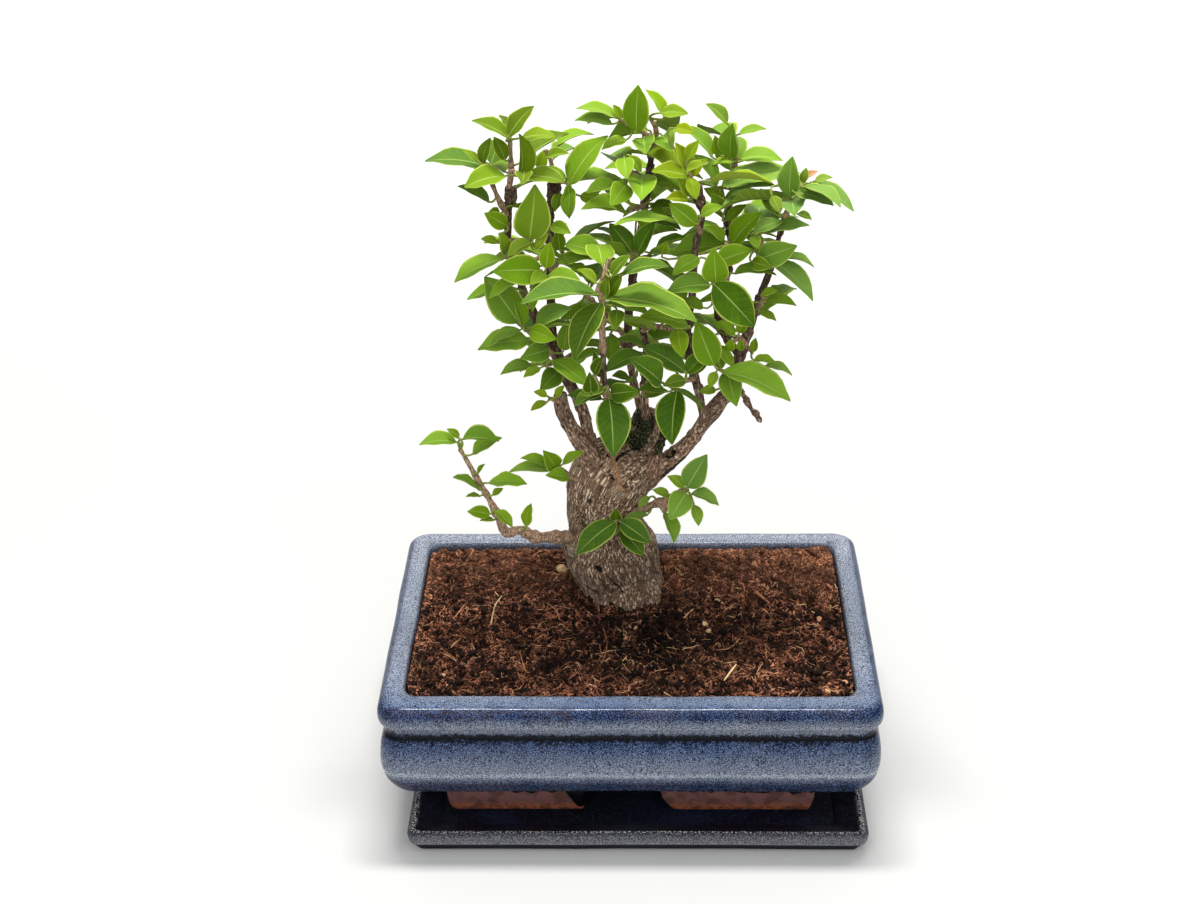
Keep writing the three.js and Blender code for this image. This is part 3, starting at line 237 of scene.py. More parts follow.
def grid_quads(rows, columns, wrap):
    """Quads of a grid of points listed row by row; with wrap the last column meets the first."""
    r, c = np.meshgrid(np.arange(rows - 1), np.arange(columns if wrap else columns - 1), indexing="ij")
    a, b = r * columns + c, r * columns + (c + 1) % columns
    return np.stack([a, b, b + columns, a + columns], -1).reshape(-1, 4)


def fans(rings, sides):
    """Triangles that close a stack of rings: from the point listed after them to the first ring, and from
    the next point to the last ring."""
    first = np.arange(sides)
    second = (first + 1) % sides
    count = rings * sides
    last = count - sides
    return np.vstack([np.stack([np.full(sides, count), second, first], -1),
                      np.stack([np.full(sides, count + 1), last + first, last + second], -1)])


def circles(path, across, up, radii, sides):
    """Points of a circle round each point of a path, in the plane of two directions kept for it."""
    angle = np.arange(sides) * 2 * math.pi / sides
    return path[..., None, :] + radii[..., None, None] * (
        across[..., None, :] * np.cos(angle)[:, None] + up[..., None, :] * np.sin(angle)[:, None])


def for_each(faces, count, each):
    """Faces of one form, repeated for count forms of each points."""
    offsets = (np.arange(count) * each)[:, None, None]
    return (faces + offsets).reshape(-1, faces.shape[1])


def tube(path, radii, sides):
    """Rings of radii round a path, square to it, closed by a point at each end. The first side of a
    ring is the axis least in line with the path, made square to it."""
    ahead = unit(np.gradient(path, axis=0))
    away = np.eye(3)[np.argmin(np.abs(ahead).max(0))]
    across = unit(away - ahead * (ahead @ away)[:, None])
    up = np.cross(ahead, across)
    radii = np.asarray(radii)
    rings = circles(path, across, up, radii, sides)
    ends = path[[0, -1]] + ahead[[0, -1]] * [[-0.5], [0.5]] * radii[[0, -1], None]
    return np.vstack([rings.reshape(-1, 3), ends]), grid_quads(len(path), sides, True), fans(len(path), sides)


def ball(centre, radius, rings, sides, reach, tall=1.0):
    """Ball of level rings from -reach to reach of its radius, tall times as high as it is wide. A ring's
    radius is the ball's times the root of 1 - height²."""
    height = np.linspace(-reach, reach, rings)
    path = centre + np.outer(height * radius * tall, (0, 0, 1))
    return tube(path, radius * np.sqrt(1 - height ** 2), sides)


# ------------------------------------------------------------------ from the frame to the tree

AHEAD = np.array([math.sin(YAW) * math.cos(PITCH), math.cos(YAW) * math.cos(PITCH), -math.sin(PITCH)])
LEVEL = np.array([math.cos(YAW), -math.sin(YAW), 0.0])
UPRIGHT = np.cross(LEVEL, AHEAD)
RIGHT = LEVEL * math.cos(ROLL) + UPRIGHT * math.sin(ROLL)
UP = UPRIGHT * math.cos(ROLL) - LEVEL * math.sin(ROLL)


def rays(columns, rows):
    """Directions from the eye to places of the frame."""
    columns, rows = np.asarray(columns, float), np.asarray(rows, float)
    return (AHEAD * REACH + np.multiply.outer(columns - FRAME_MIDDLE[0], RIGHT)
            + np.multiply.outer(FRAME_MIDDLE[1] - rows, UP))


def place(columns, rows, depths):
    """Points at depths in Y that are seen at columns and rows of the frame."""
    ray = rays(columns, rows)
    return EYE + ray * ((np.asarray(depths, float) - EYE[1]) / ray[..., 1])[..., None]


def span(width, points):
    """Real size in mm of a width in the frame at points."""
    return width * ((points - EYE) @ AHEAD) / REACH


def limb_of(rings):
    """Centre points and radii in mm of a limb of the tree."""
    column, row, width, depth = np.array(rings, float).T
    centres = place(column, row, depth)
    return centres, span(width, centres) / 2


# ------------------------------------------------------------------ meshes

class Skin:
    """Surfaces gathered into one mesh: points in mm, faces, and vectors kept on the points."""

    def __init__(self):
        self.points, self.faces, self.fields, self.count = [], [], [], 0

    def add(self, points, *faces, finish=0, **fields):
        """Take in points, arrays of faces that count from the first of them, and a vector per point."""
        self.faces += [(array + self.count, finish) for array in faces]
        self.points.append(points)
        self.fields.append(fields)
        self.count += len(points)

    def mesh(self, name):
        """Smooth-shaded mesh of all that was added; a face's finish is the number of its material."""
        mesh = bpy.data.meshes.new(name)
        mesh.vertices.add(self.count)
        mesh.vertices.foreach_set("co", (np.vstack(self.points) * MM).astype(np.float32).ravel())
        corners = np.concatenate([array.ravel() for array, _ in self.faces]).astype(np.int32)
        sizes = np.concatenate([np.full(len(array), array.shape[1]) for array, _ in self.faces])
        finishes = np.concatenate([np.full(len(array), finish) for array, finish in self.faces])
        mesh.loops.add(len(corners))
        mesh.loops.foreach_set("vertex_index", corners)
        mesh.polygons.add(len(sizes))
        mesh.polygons.foreach_set("loop_start", (np.cumsum(sizes) - sizes).astype(np.int32))
        mesh.polygons.foreach_set("material_index", finishes.astype(np.int32))
        mesh.polygons.foreach_set("use_smooth", np.ones(len(sizes), bool))
        mesh.update(calc_edges=True)
        for key in self.fields[0]:
            keep(mesh, key, np.concatenate([fields[key] for fields in self.fields]))
        return mesh


def keep(mesh, name, vectors):
    """Vectors on a mesh's points, for its material to read."""
    layer = mesh.attributes.new(name, "FLOAT_VECTOR", "POINT")
    layer.data.foreach_set("vector", vectors.astype(np.float32).ravel())


def piece(name, mesh, materials, slot, *nodes):
    """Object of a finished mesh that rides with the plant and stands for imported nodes."""
    made = bpy.data.objects.new(name, mesh)
    bpy.context.scene.collection.objects.link(made)
    for material in materials:
        mesh.materials.append(material)
    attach(made, BODY)
    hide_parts(*nodes)


def applied(made):
    """Smooth-shaded mesh of an object with its modifiers applied; the object goes."""
    graph = bpy.context.evaluated_depsgraph_get()
    mesh = bpy.data.meshes.new_from_object(made.evaluated_get(graph), preserve_all_data_layers=True,
                                           depsgraph=graph)
    bpy.data.objects.remove(made)
    mesh.polygons.foreach_set("use_smooth", np.ones(len(mesh.polygons), bool))
    return mesh


def loose(mesh):
    """Object of a mesh that is only worked on."""
    made = bpy.data.objects.new("work", mesh)
    bpy.context.scene.collection.objects.link(made)
    return made


def read_points(mesh, what):
    """One vector for each point of a mesh."""
    flat = np.empty(len(mesh.vertices) * 3, np.float32)
    mesh.vertices.foreach_get(what, flat)
    return flat.reshape(-1, 3).astype(float)


def points_of(mesh):
    """Points of a mesh in mm."""
    return read_points(mesh, "co") / MM


def normals_of(mesh):
    """Normals at a mesh's points."""
    return read_points(mesh, "normal")


def move_to(mesh, points):
    """Move a mesh's points to places in mm."""
    mesh.vertices.foreach_set("co", (points * MM).astype(np.float32).ravel())
    mesh.update()


# ------------------------------------------------------------------ shader maths

class Value:
    """A shader socket that turns Python arithmetic into Math nodes."""

    def __init__(self, shader, socket):
        self.shader, self.socket = shader, socket

    def _math(self, operation, *values):
        return self.shader.node("Math", dict(enumerate(values)), operation=operation)

    def __add__(self, other):
        return self._math("ADD", self, other)

    def __sub__(self, other):
        return self._math("SUBTRACT", self, other)

    def __rsub__(self, other):
        return self._math("SUBTRACT", other, self)

    def __mul__(self, other):
        return self._math("MULTIPLY", self, other)

    __radd__, __rmul__ = __add__, __mul__

    def __neg__(self):
        return 0.0 - self

    def size(self):
        """Its distance from 0."""
        return self._math("ABSOLUTE", self)

    def part(self):
        """Distance from the nearest whole number: 0 on it, 0.5 halfway."""
        return (self._math("FRACT", self + 0.5) - 0.5).size()

    def between(self, low, high):
        """0 at low, 1 at high, smooth between; high may be the smaller."""
        ends = {"From Min": low, "From Max": high}
        return self.shader.node("MapRange", {"Value": self, **ends}, interpolation_type="SMOOTHSTEP")


class Shader:
    """One material: a Principled surface and the nodes that feed it."""

    def __init__(self, name, **surface):
        self.material = bpy.data.materials.new(name)
        self.material.use_nodes = True
        self.tree = self.material.node_tree
        self.surface = self.tree.nodes["Principled BSDF"]
        for key, value in surface.items():
            self.surface.inputs[key.replace("_", " ").title().replace("Ior", "IOR")].default_value = value

    def node(self, kind, inputs=None, output=0, stops=None, **settings):
        """A node of a kind: its settings and stops first, then values or links for its sockets."""
        made = self.tree.nodes.new("ShaderNode" + kind)
        for key, value in settings.items():
            setattr(made, key, value)
        if stops:
            ramp = made.color_ramp.elements
            while len(ramp) < len(stops):
                ramp.new(0.5)
            for element, (position, color) in zip(ramp, stops):
                element.position, element.color = position, color
        for key, value in (inputs or {}).items():
            self.feed(made.inputs[key], value)
        return Value(self, made.outputs[output])

    def feed(self, socket, value):
        """Link a value to a socket, or set the socket to a number, vector or colour."""
        if isinstance(value, Value):
            self.tree.links.new(value.socket, socket)
        else:
            socket.default_value = value

    def set(self, **values):
        """Feed sockets of the surface, named with underscores for spaces."""
        for key, value in values.items():
            self.feed(self.surface.inputs[key.replace("_", " ").title()], value)

    def here(self, stretch=(1, 1, 1)):
        """Object coordinates in mm, stretched."""
        spot = self.node("TexCoord", output="Object")
        scale = tuple(number / MM for number in stretch)
        return self.node("VectorMath", {0: spot, 1: scale}, operation="MULTIPLY")

    def kept(self, name):
        """X, Y and Z of a vector kept on the mesh's points."""
        return self.axes(self.node("Attribute", output="Vector", attribute_name=name))

    def axes(self, vector):
        """X, Y and Z of a vector."""
        return [self.node("SeparateXYZ", {0: vector}, output=axis) for axis in "XYZ"]

    def noise(self, where, pitch, detail=2.0, rough=0.5):
        """Noise whose lumps are about pitch mm apart."""
        inputs = {"Vector": where, "Scale": 1 / pitch, "Detail": detail, "Roughness": rough}
        return self.node("TexNoise", inputs)

    def cell_walls(self, where, pitch):
        """Distance from the walls of cells about pitch mm wide, in cells."""
        inputs = {"Vector": where, "Scale": 1 / pitch}
        return self.node("TexVoronoi", inputs, feature="DISTANCE_TO_EDGE", output="Distance")

    def mix(self, share, first, second):
        """Colour between first and second."""
        return self.node("Mix", {0: share, 6: first, 7: second}, output=2, data_type="RGBA")

    def layers(self, color, *coats):
        """Colour under coats, each a share and a colour that is mixed over what lies below it."""
        for share, coat in coats:
            color = self.mix(share, color, coat)
        return color

    def ramp(self, value, *stops):
        """Colour of a value between stops, each a position and a colour."""
        return self.node("ValToRGB", {0: value}, stops=stops)

    def bump(self, height, deep, strength=1.0):
        """Relief of a height from 0 to 1 that is deep mm."""
        self.set(Normal=self.node("Bump", {"Height": height, "Distance": deep * MM, "Strength": strength}))


def rgb(red, green, blue):
    """Linear colour of screen numbers from 0 to 255."""
    return tuple(((c / 255 + 0.055) / 1.055) ** 2.4 if c > 10 else c / 255 / 12.92
                 for c in (red, green, blue)) + (1.0,)


# ------------------------------------------------------------------ finishes

def leaf_finish():
    """Leathery ovate leaf: a thin pale midrib, faint arched side veins, a net of fine ones, a yellow-green
    margin, a duller and paler underside, and brown all over once it has dried up. A side vein is where 8
    times the way along, less a curve of the place across, is a whole number."""
    paint = Shader("leaf_green", specular_ior_level=0.05)
    along, across, under = paint.kept("blade")
    tone, youth, painted_sheen = paint.kept("leaf")
    here = paint.here()
    out = across.size()
    rib = out.between(0.06, 0.015) * (1 - along * 0.5)
    arched = along * 8.0 - out * 2.6 + out * out * 0.9 + across.between(-0.01, 0.01) * 0.5
    side = arched.part().between(0.10, 0.0) * out.between(1.0, 0.7) * out.between(0.0, 0.1)
    net = paint.cell_walls(here, 0.9).between(0.10, 0.0)
    margin = out.between(0.87, 0.94)
    blotch = paint.noise(here, 6.0, 3.0)
    dried = youth.between(1.2, 1.8)

    face = paint.layers(
        paint.mix(tone, rgb(56, 96, 0), rgb(126, 166, 8)),
        # painted sheen: pale bluish green where a leaf faces the bright sky
        (painted_sheen * 0.65, rgb(110, 146, 82)),
        (youth, rgb(140, 152, 14)),
        (blotch.between(0.4, 0.75) * 0.3, rgb(108, 146, 0)),
        (-tone * 0.8, rgb(14, 42, 0)),
        (net * 0.10, rgb(124, 158, 10)),
        (side * 0.16, rgb(146, 172, 70)),
        (rib * 0.7, rgb(180, 200, 110)),
        (margin * 0.7, rgb(184, 198, 90)))
    back = paint.layers(
        paint.mix(tone, rgb(92, 120, 34), rgb(132, 154, 56)),
        (youth * 0.6, rgb(166, 180, 50)),
        (side * 0.4 + rib * 0.8, rgb(180, 194, 112)))
    color = paint.layers(face, (under.between(0.45, 0.55), back), (dried, rgb(200, 150, 106)))
    paint.set(Base_Color=color, Roughness=0.42 + under * 0.2 + blotch * 0.10)
    paint.bump(0.6 - side * 0.3 - rib * 0.4 - net * 0.08 + blotch * 0.5, 0.35, 0.8)
    return paint.material


def twig_finish():
    """Shoot bark: grey-brown at the wood, green at the tip, with fine lengthwise lines and pale pores."""
    paint = Shader("twig_bark", specular_ior_level=0.25)
    young = paint.kept("leaf")[0]
    grain = paint.noise(paint.here((1, 1, 0.4)), 0.8, 4.0, 0.7)
    pores = paint.noise(paint.here(), 0.8, 1.0).between(0.62, 0.72)
    color = paint.layers(
        paint.mix(grain.between(0.35, 0.65), rgb(96, 71, 56), rgb(204, 170, 140)),
        (pores * 0.55, rgb(190, 166, 136)),
        (young, paint.mix(grain, rgb(96, 124, 30), rgb(148, 166, 58))))
    paint.set(Base_Color=color, Roughness=0.85 - young * 0.3)
    paint.bump(grain + pores * 0.4, 0.35)
    return paint.material


def bark_finish():
    """Old bark: a net of short wrinkles drawn out along the limb, near-black in the cracks and pale on the
    crests. A crack is where a noise passes through its middle value. The kept marks, their edges torn by
    noise, lay cuts, scars and moss on it; their dark is partly the wood's own and partly painted shade in
    holes, creases and crevices. Grooves in thick wood and slender wood high in the crown are darkened as
    painted shade."""
    paint = Shader("old_bark", specular_ior_level=0.2)
    dark, pale, moss = paint.kept("marks")
    slim, scar, groove = paint.kept("wood")
    here = paint.here()
    height = paint.axes(here)[2]
    grain = paint.node("Attribute", output="Vector", attribute_name="grain")
    drawn = paint.node("VectorMath", {0: grain, 1: (1, 1, 0.6)}, operation="MULTIPLY")
    wrinkle = paint.noise(drawn, 0.72, 3.0, 0.65)
    crack = (wrinkle - 0.5).size().between(0.05, 0.0)
    crest = wrinkle.between(0.34, 0.66)
    fleck = paint.noise(here, 0.4, 2.0, 0.65)
    bare = fleck.between(0.35, 0.65)
    patch = paint.noise(here, 9.0, 3.0, 0.55)
    tuft = paint.noise(here, 0.8, 3.0, 0.7)
    torn = (paint.noise(here, 1.3, 4.0, 0.7) - 0.5) * 2.2

    shade = crest * 0.5 + fleck * 0.5
    old = paint.ramp(shade, (0.30, rgb(80, 54, 40)), (0.42, rgb(204, 160, 128)),
                     (0.55, rgb(242, 198, 163)), (0.68, rgb(255, 230, 198)))
    slender = paint.ramp(shade, (0.30, rgb(88, 60, 47)), (0.42, rgb(206, 158, 128)),
                         (0.55, rgb(238, 190, 158)), (0.68, rgb(252, 222, 192)))
    tufts = paint.ramp(tuft, (0.40, rgb(14, 16, 9)), (0.50, rgb(50, 54, 30)),
                       (0.58, rgb(104, 106, 70)), (0.66, rgb(186, 178, 140)))
    color = paint.layers(
        old,
        (slim.between(0.25, 0.75), slender),
        (patch.between(0.50, 0.66) * 0.4, rgb(92, 74, 56)),
        (crack * 0.75 * (1 - slim * 0.4), rgb(40, 28, 21)),
        # painted shade in the grooves between the pushed-out fibres of thick wood
        (groove.between(0.4, 1.0) * 0.6, rgb(40, 30, 22)),
        # painted shade of the crown: slender wood high up is made darker
        (height.between(135, 195) * slim * 0.65, rgb(46, 34, 32)),
        (height.between(112, 72) * 0.4, rgb(70, 56, 44)),
        ((scar + torn).between(0.42, 0.6), paint.mix(bare, rgb(150, 98, 66), rgb(236, 186, 144))),
        ((pale + torn).between(0.42, 0.6), paint.mix(bare, rgb(136, 112, 84), rgb(226, 210, 180))),
        ((moss + torn).between(0.3, 0.6), tufts),
        # dark marks: the wood's own dark and painted shade in the pressed-in holes, creases and crevices
        ((dark + torn).between(0.35, 0.9), rgb(30, 21, 15)))
    paint.set(Base_Color=color, Roughness=0.92 - pale * 0.1)
    paint.bump(crest * 0.9 + fleck * 0.5 - crack * 0.8 + moss * fleck, 0.9)
    return paint.material


def glaze_finish():
    """Cobalt glaze: fine pale blue crystals over navy, browner on the left where they are few; grey where it
    ran thin, and greyer along the sides and the back than at the front; near-black where it pooled. A pale
    grey line round the foot of the belly is a painted highlight, the reflection of the bright table. The kept
    numbers are how many crystals there are, how thin the glaze is and how deep it pooled, with less than 0
    for a crest that shines."""
    paint = Shader("cobalt_glaze", coat_roughness=0.1, specular_ior_level=0.1)
    pale, thin, pool = paint.kept("glaze")
    here = paint.here()
    across, deep, _ = paint.axes(here)
    speck = paint.noise(here, 0.46, 2.0, 0.6)
    drift = paint.noise(here, 24.0, 2.0)
    cloud = paint.noise(paint.here((1, 1, 0.5)), 6.0, 3.0)
    blot = paint.noise(here, 2.2, 3.0, 0.65)

    grains = (speck + (pale - 0.5) * 0.12 + (cloud - 0.5) * 0.1).between(0.47, 0.55)
    brown = (drift + across * -0.0016).between(0.42, 0.62) * (1 - pale)
    blue = paint.mix(grains, paint.mix(brown, rgb(4, 10, 34), rgb(34, 24, 34)),
                     paint.mix(pale, rgb(58, 86, 136), rgb(104, 119, 143)))
    grey = paint.mix(speck.between(0.42, 0.58), paint.mix(pale, rgb(26, 30, 42), rgb(72, 82, 98)),
                     paint.mix(pale, rgb(94, 100, 112), rgb(172, 178, 190)))
    # greyer along the sides and the back than at the front
    greyer_off_front = pale.between(0.3, 0.6) * (deep.between(-70, -35) * 0.6 + deep.between(20, 70) * 0.4)
    # the grey share: thin glaze, and the painted highlight line where the kept thinness is above 1
    thin_grey_and_highlight = thin + (drift + cloud * 0.5 - 0.75) * 0.5 + greyer_off_front
    pooled = (pool + blot * 1.6 - 0.8).between(0.3, 0.7)
    color = paint.layers(blue, (thin_grey_and_highlight, grey), (pooled, rgb(7, 9, 17)))
    shine = (-pool).between(0, 1) * cloud.between(0.3, 0.6)
    paint.set(Base_Color=color, Roughness=0.2 + speck * 0.12,
              Coat_Weight=speck.between(0.46, 0.6) * 0.2 + shine * 0.35)
    paint.bump(drift * 0.7 + cloud * 0.4 + speck * 0.04, 0.45, 0.5)
    return paint.material


def tray_finish():
    """Near-black navy glaze, blue in the middle of the floor, thin and speckled grey on the outer wall.
    The third kept number is how glossy it is: the lip shines, and pale dots on it are painted glints of
    light."""
    paint = Shader("navy_glaze", coat_roughness=0.16, specular_ior_level=0.1)
    pale, thin, gloss_and_glints = paint.kept("glaze")
    here = paint.here()
    speck = paint.noise(here, 0.6, 2.0, 0.6)
    drift = paint.noise(here, 22.0, 2.0)
    crumb = paint.noise(here, 2.2, 4.0, 0.7)
    pits = paint.noise(here, 0.8, 2.0, 0.6)
    wall = paint.mix(speck.between(0.42, 0.62), paint.mix(pale, rgb(36, 37, 43), rgb(84, 84, 90)),
                     paint.mix(pale, rgb(100, 102, 108), rgb(146, 146, 152)))
    color = paint.layers(
        paint.mix(drift.between(0.45, 0.7), rgb(6, 6, 12), rgb(12, 16, 34)),
        (speck.between(0.54, 0.66) * (0.3 + pale * 0.5), rgb(64, 78, 108)),
        (thin, wall),
        (crumb.between(0.70, 0.76) * 0.5, rgb(108, 76, 56)),
        # painted glints: pale dots along the glossy lip
        (gloss_and_glints * pits.between(0.52, 0.60), rgb(216, 212, 212)))
    paint.set(Base_Color=color, Roughness=0.5 - gloss_and_glints * 0.3 + speck * 0.1, Coat_Weight=gloss_and_glints)
    paint.bump(drift * 0.3 + crumb * 0.3 + speck * 0.1 + gloss_and_glints * pits * 0.4, 0.4, 0.5)
    return paint.material


def terracotta_finish():
    """Bare fired clay, mauve at the top and orange near the sole, with stains and worn edges, under a black
    glazed lip that runs down in tongues. The inner end of the left foot is painted black nearly to the sole,
    as painted shade under the pot."""
    paint = Shader("terracotta", specular_ior_level=0.3)
    here = paint.here()
    side, _, height = paint.axes(here)
    grit = paint.noise(here, 0.6, 3.0, 0.7)
    stain = paint.noise(here, 6.0, 3.0)
    scuff = paint.noise(here, 2.6, 3.0, 0.7)
    tongues = paint.noise(here, 9.0, 3.0)
    clay = paint.layers(
        paint.mix((height + stain * 2.0).between(14.5, 9.0), rgb(118, 80, 76), rgb(176, 100, 66)),
        (stain.between(0.45, 0.62) * 0.55, rgb(58, 36, 31)),
        ((scuff + height * -0.03).between(0.22, 0.34) * 0.5, rgb(44, 34, 26)),
        (grit.between(0.6, 0.7) * 0.4, rgb(186, 140, 112)))
    # painted shade under the pot: the inner end of the left foot is made black and glossy like the glaze
    inner = side.between(-30, -22) * side.between(10, 0)
    glazed = (height + tongues * 9.0 + inner * 9.0).between(22.6, 23.2)
    paint.set(Base_Color=paint.mix(glazed, clay, rgb(10, 10, 16)), Roughness=0.88 - glazed * 0.65)
    paint.bump(grit + stain, 0.3)
    return paint.material


def soil_finish():
    """Coir and peat: red-brown crumbs over near-black gaps, with painted light that makes the back paler. The
    kept numbers are the tint of a loose bit, 0 on the bed; a painted shade in the hollows of the relief,
    below 0 on a bit that the dark crumbs leave out; and a painted shadow of the trunk and crown before the
    trunk."""
    paint = Shader("coir_soil", specular_ior_level=0.1)
    tint, gap, shadowed = paint.kept("bits")
    here = paint.here()
    deep = paint.axes(here)[1]
    crumb = paint.noise(here, 1.3, 3.0, 0.7)
    fine = paint.noise(here, 0.6, 2.0, 0.6)
    patch = paint.noise(here, 12.0, 3.0)
    shade = crumb * 0.65 + fine * 0.35
    bed = paint.ramp(shade, (0.46, rgb(9, 5, 4)), (0.50, rgb(50, 29, 22)),
                     (0.54, rgb(148, 93, 70)), (0.60, rgb(216, 150, 114)))
    bit = paint.ramp(tint, (0.0, rgb(12, 7, 6)), (0.35, rgb(78, 48, 37)), (0.7, rgb(186, 122, 91)),
                     (0.88, rgb(226, 164, 120)), (1.0, rgb(236, 204, 154)))
    bit = paint.mix(crumb.between(0.52, 0.44) * (gap + 1.0).between(0, 1) * 0.75, bit, rgb(20, 12, 9))
    color = paint.layers(
        bed,
        (tint.between(0.001, 0.002), bit),
        (patch.between(0.42, 0.62) * 0.6, rgb(20, 12, 9)),
        # painted shade in the hollows of the relief
        (gap * 0.9, rgb(7, 4, 3)),
        # painted light: the back of the soil is made paler, where the crown's shadow does not fall
        (deep.between(5, 50) * (1 - gap.size()) * 0.16, rgb(196, 134, 101)),
        # painted shadow of the trunk and crown, on the bed and the darker bits
        (shadowed * 0.9 * tint.between(1.0, 0.6), rgb(10, 7, 6)))
    paint.set(Base_Color=color, Roughness=0.95)
    paint.bump(shade, 1.2)
    return paint.material


def screen_finish():
    """Black plastic mesh with a slight mottle."""
    paint = Shader("black_mesh")
    mottle = paint.noise(paint.here(), 3.0, 2.0)
    paint.set(Base_Color=paint.mix(mottle, rgb(16, 16, 17), rgb(42, 42, 44)), Roughness=0.5 + mottle * 0.2)
    paint.bump(mottle, 0.1)
    return paint.material


# ------------------------------------------------------------------ pot and tray

RING_CORNER, RING_SIDES = 10, (30, 22) # points round a corner; points along the long and short sides
PROFILE_SAMPLES = 4 # points of the profile from one station to the next
RIM_STANDS_BACK = dict(deep=2.6, start=20.0, full=55.0) # growing from start to full mm before the middle
RIM_INSETS = (6.0, 10.4) # where the front rim starts to stand back, and from where it does in full
UNEVEN = dict(pot=0.55, tray=0.4, foot=0.5) # how far the hand-pressed clay strays, in mm
FOOT_ROUND = 1.6 # radius of a foot's corners in plan


def rounded_rings(half, corner, inset, heights, ease, least):
    """Rounded rectangles: rows of points for profile stations with an inset and a height. The corner
    radius tightens by ease with each mm of inset."""
    radius = np.maximum(corner - inset * ease, least)[:, None, None]
    quarter = np.linspace(0, math.pi / 2, RING_CORNER)
    plan = []
    for turn in range(4):
        angle = quarter + turn * math.pi / 2
        sign = np.array([(1, 1), (-1, 1), (-1, -1), (1, -1)][turn])
        arc = np.stack([np.cos(angle), np.sin(angle)], -1)
        plan.append(sign * (half - inset[:, None, None] - radius) + radius * arc)
    rows = []
    for turn in range(4):
        rows.append(plan[turn])
        start, end = plan[turn][:, -1:], plan[(turn + 1) % 4][:, :1]
        share = np.linspace(0, 1, RING_SIDES[turn % 2] + 2)[1:-1][None, :, None]
        rows.append(start + (end - start) * share)
    ring = np.concatenate(rows, 1)
    return np.concatenate([ring, np.broadcast_to(heights[:, None, None], ring.shape[:2] + (1,))], 2)


def wall_numbers(points, half, corner, stations):
    """Insets of points on a lofted skin, and the kept numbers of the station nearest in inset and height.
    The inset is the distance inside the outline, a rectangle with rounded corners."""
    over = np.abs(points[:, :2]) - (half - corner)
    inset = corner - np.linalg.norm(np.maximum(over, 0), axis=1) - np.minimum(over.max(1), 0)
    gap = (inset[:, None] - stations[:, 0]) ** 2 + (points[:, 2:] - stations[:, 1]) ** 2
    return inset, stations[gap.argmin(1), 2:]


def front_rim(y):
    """How far the inside of the front rim stands back in mm."""
    return RIM_STANDS_BACK["deep"] * step(-y, RIM_STANDS_BACK["start"], RIM_STANDS_BACK["full"])


def lofted(rings, wobble):
    """Closed skin over rings from the bottom outside to the floor inside, uneven by slow fields of
    wobble mm, both ends closed by a fan."""
    points = rings.reshape(-1, 3)
    push = (field(points, 23.0, 3) - 0.5) + 0.5 * (field(points, 9.0, 4) - 0.5)
    lift = field(points, 30.0, 5) - 0.5
    outward = unit(points * (1, 1, 0) + 1e-6)
    points = points + outward * (push * wobble)[:, None] + (0, 0, 1) * (lift * wobble)[:, None]
    ends = np.stack([rings[0].mean(0), rings[-1].mean(0)])
    skin = Skin()
    skin.add(np.vstack([points, ends]), grid_quads(*rings.shape[:2], True), fans(*rings.shape[:2]))
    return skin


# Glaze along the profile from the bottom outside to the floor inside: inset and height in mm, how many
# crystals, how thin, how deep it pooled; with less than 0 pooled it shines.
POT_WALL = [
    (14.0, 22.5, 0.1, 0.0, 0.9), (9.0, 23.6, 0.1, 0.0, 0.9), (4.6, 27.2, 0.2, 0.2, 0.4),
    # At (0.3, 38.2) the glaze is made pale and thin grey round the belly: a painted highlight line, the
    # reflection of the bright table.
    (1.6, 32.6, 0.0, 0.3, 0.2), (0.7, 36.4, 0.6, 0.5, 0.0), (0.3, 38.2, 1.0, 1.2, -1.0),
    (0.1, 39.8, 0.75, 0.7, 0.0), (0.0, 42.0, 0.7, 0.6, 0.0),
    (0.2, 47.0, 0.6, 0.3, 0.0), (0.8, 51.5, 0.5, 0.0, 0.1), (1.9, 54.6, 0.3, 0.0, 0.5),
    (2.5, 56.0, 0.2, 0.0, 0.9), (2.6, 57.4, 0.3, 0.3, 0.6), (2.4, 59.4, 0.5, 0.9, 0.0),
    (1.5, 60.8, 0.7, 1.0, 0.0), (0.6, 61.6, 0.65, 1.0, 0.0), (0.1, 63.2, 0.6, 0.9, 0.0),
    (0.0, 65.6, 0.45, 0.5, 0.0), (0.3, 67.8, 0.25, 0.05, 0.0), (1.2, 69.6, 0.0, 0.1, 0.1),
    (2.6, 70.7, 0.35, 0.1, -1.0), (4.4, 71.0, 0.75, 0.05, 0.0), (7.0, 70.9, 0.85, 0.05, 0.0),
    (9.4, 70.5, 0.6, 0.35, 0.0), (10.6, 69.4, 0.3, 0.7, 0.0), (11.0, 66.0, 0.2, 0.6, 0.2),
    (11.3, 50.0, 0.0, 0.0, 0.3), (12.0, 34.0, 0.0, 0.0, 0.2), (14.5, 28.4, 0.0, 0.0, 0.2),
    (30.0, 28.0, 0.0, 0.0, 0.2)]
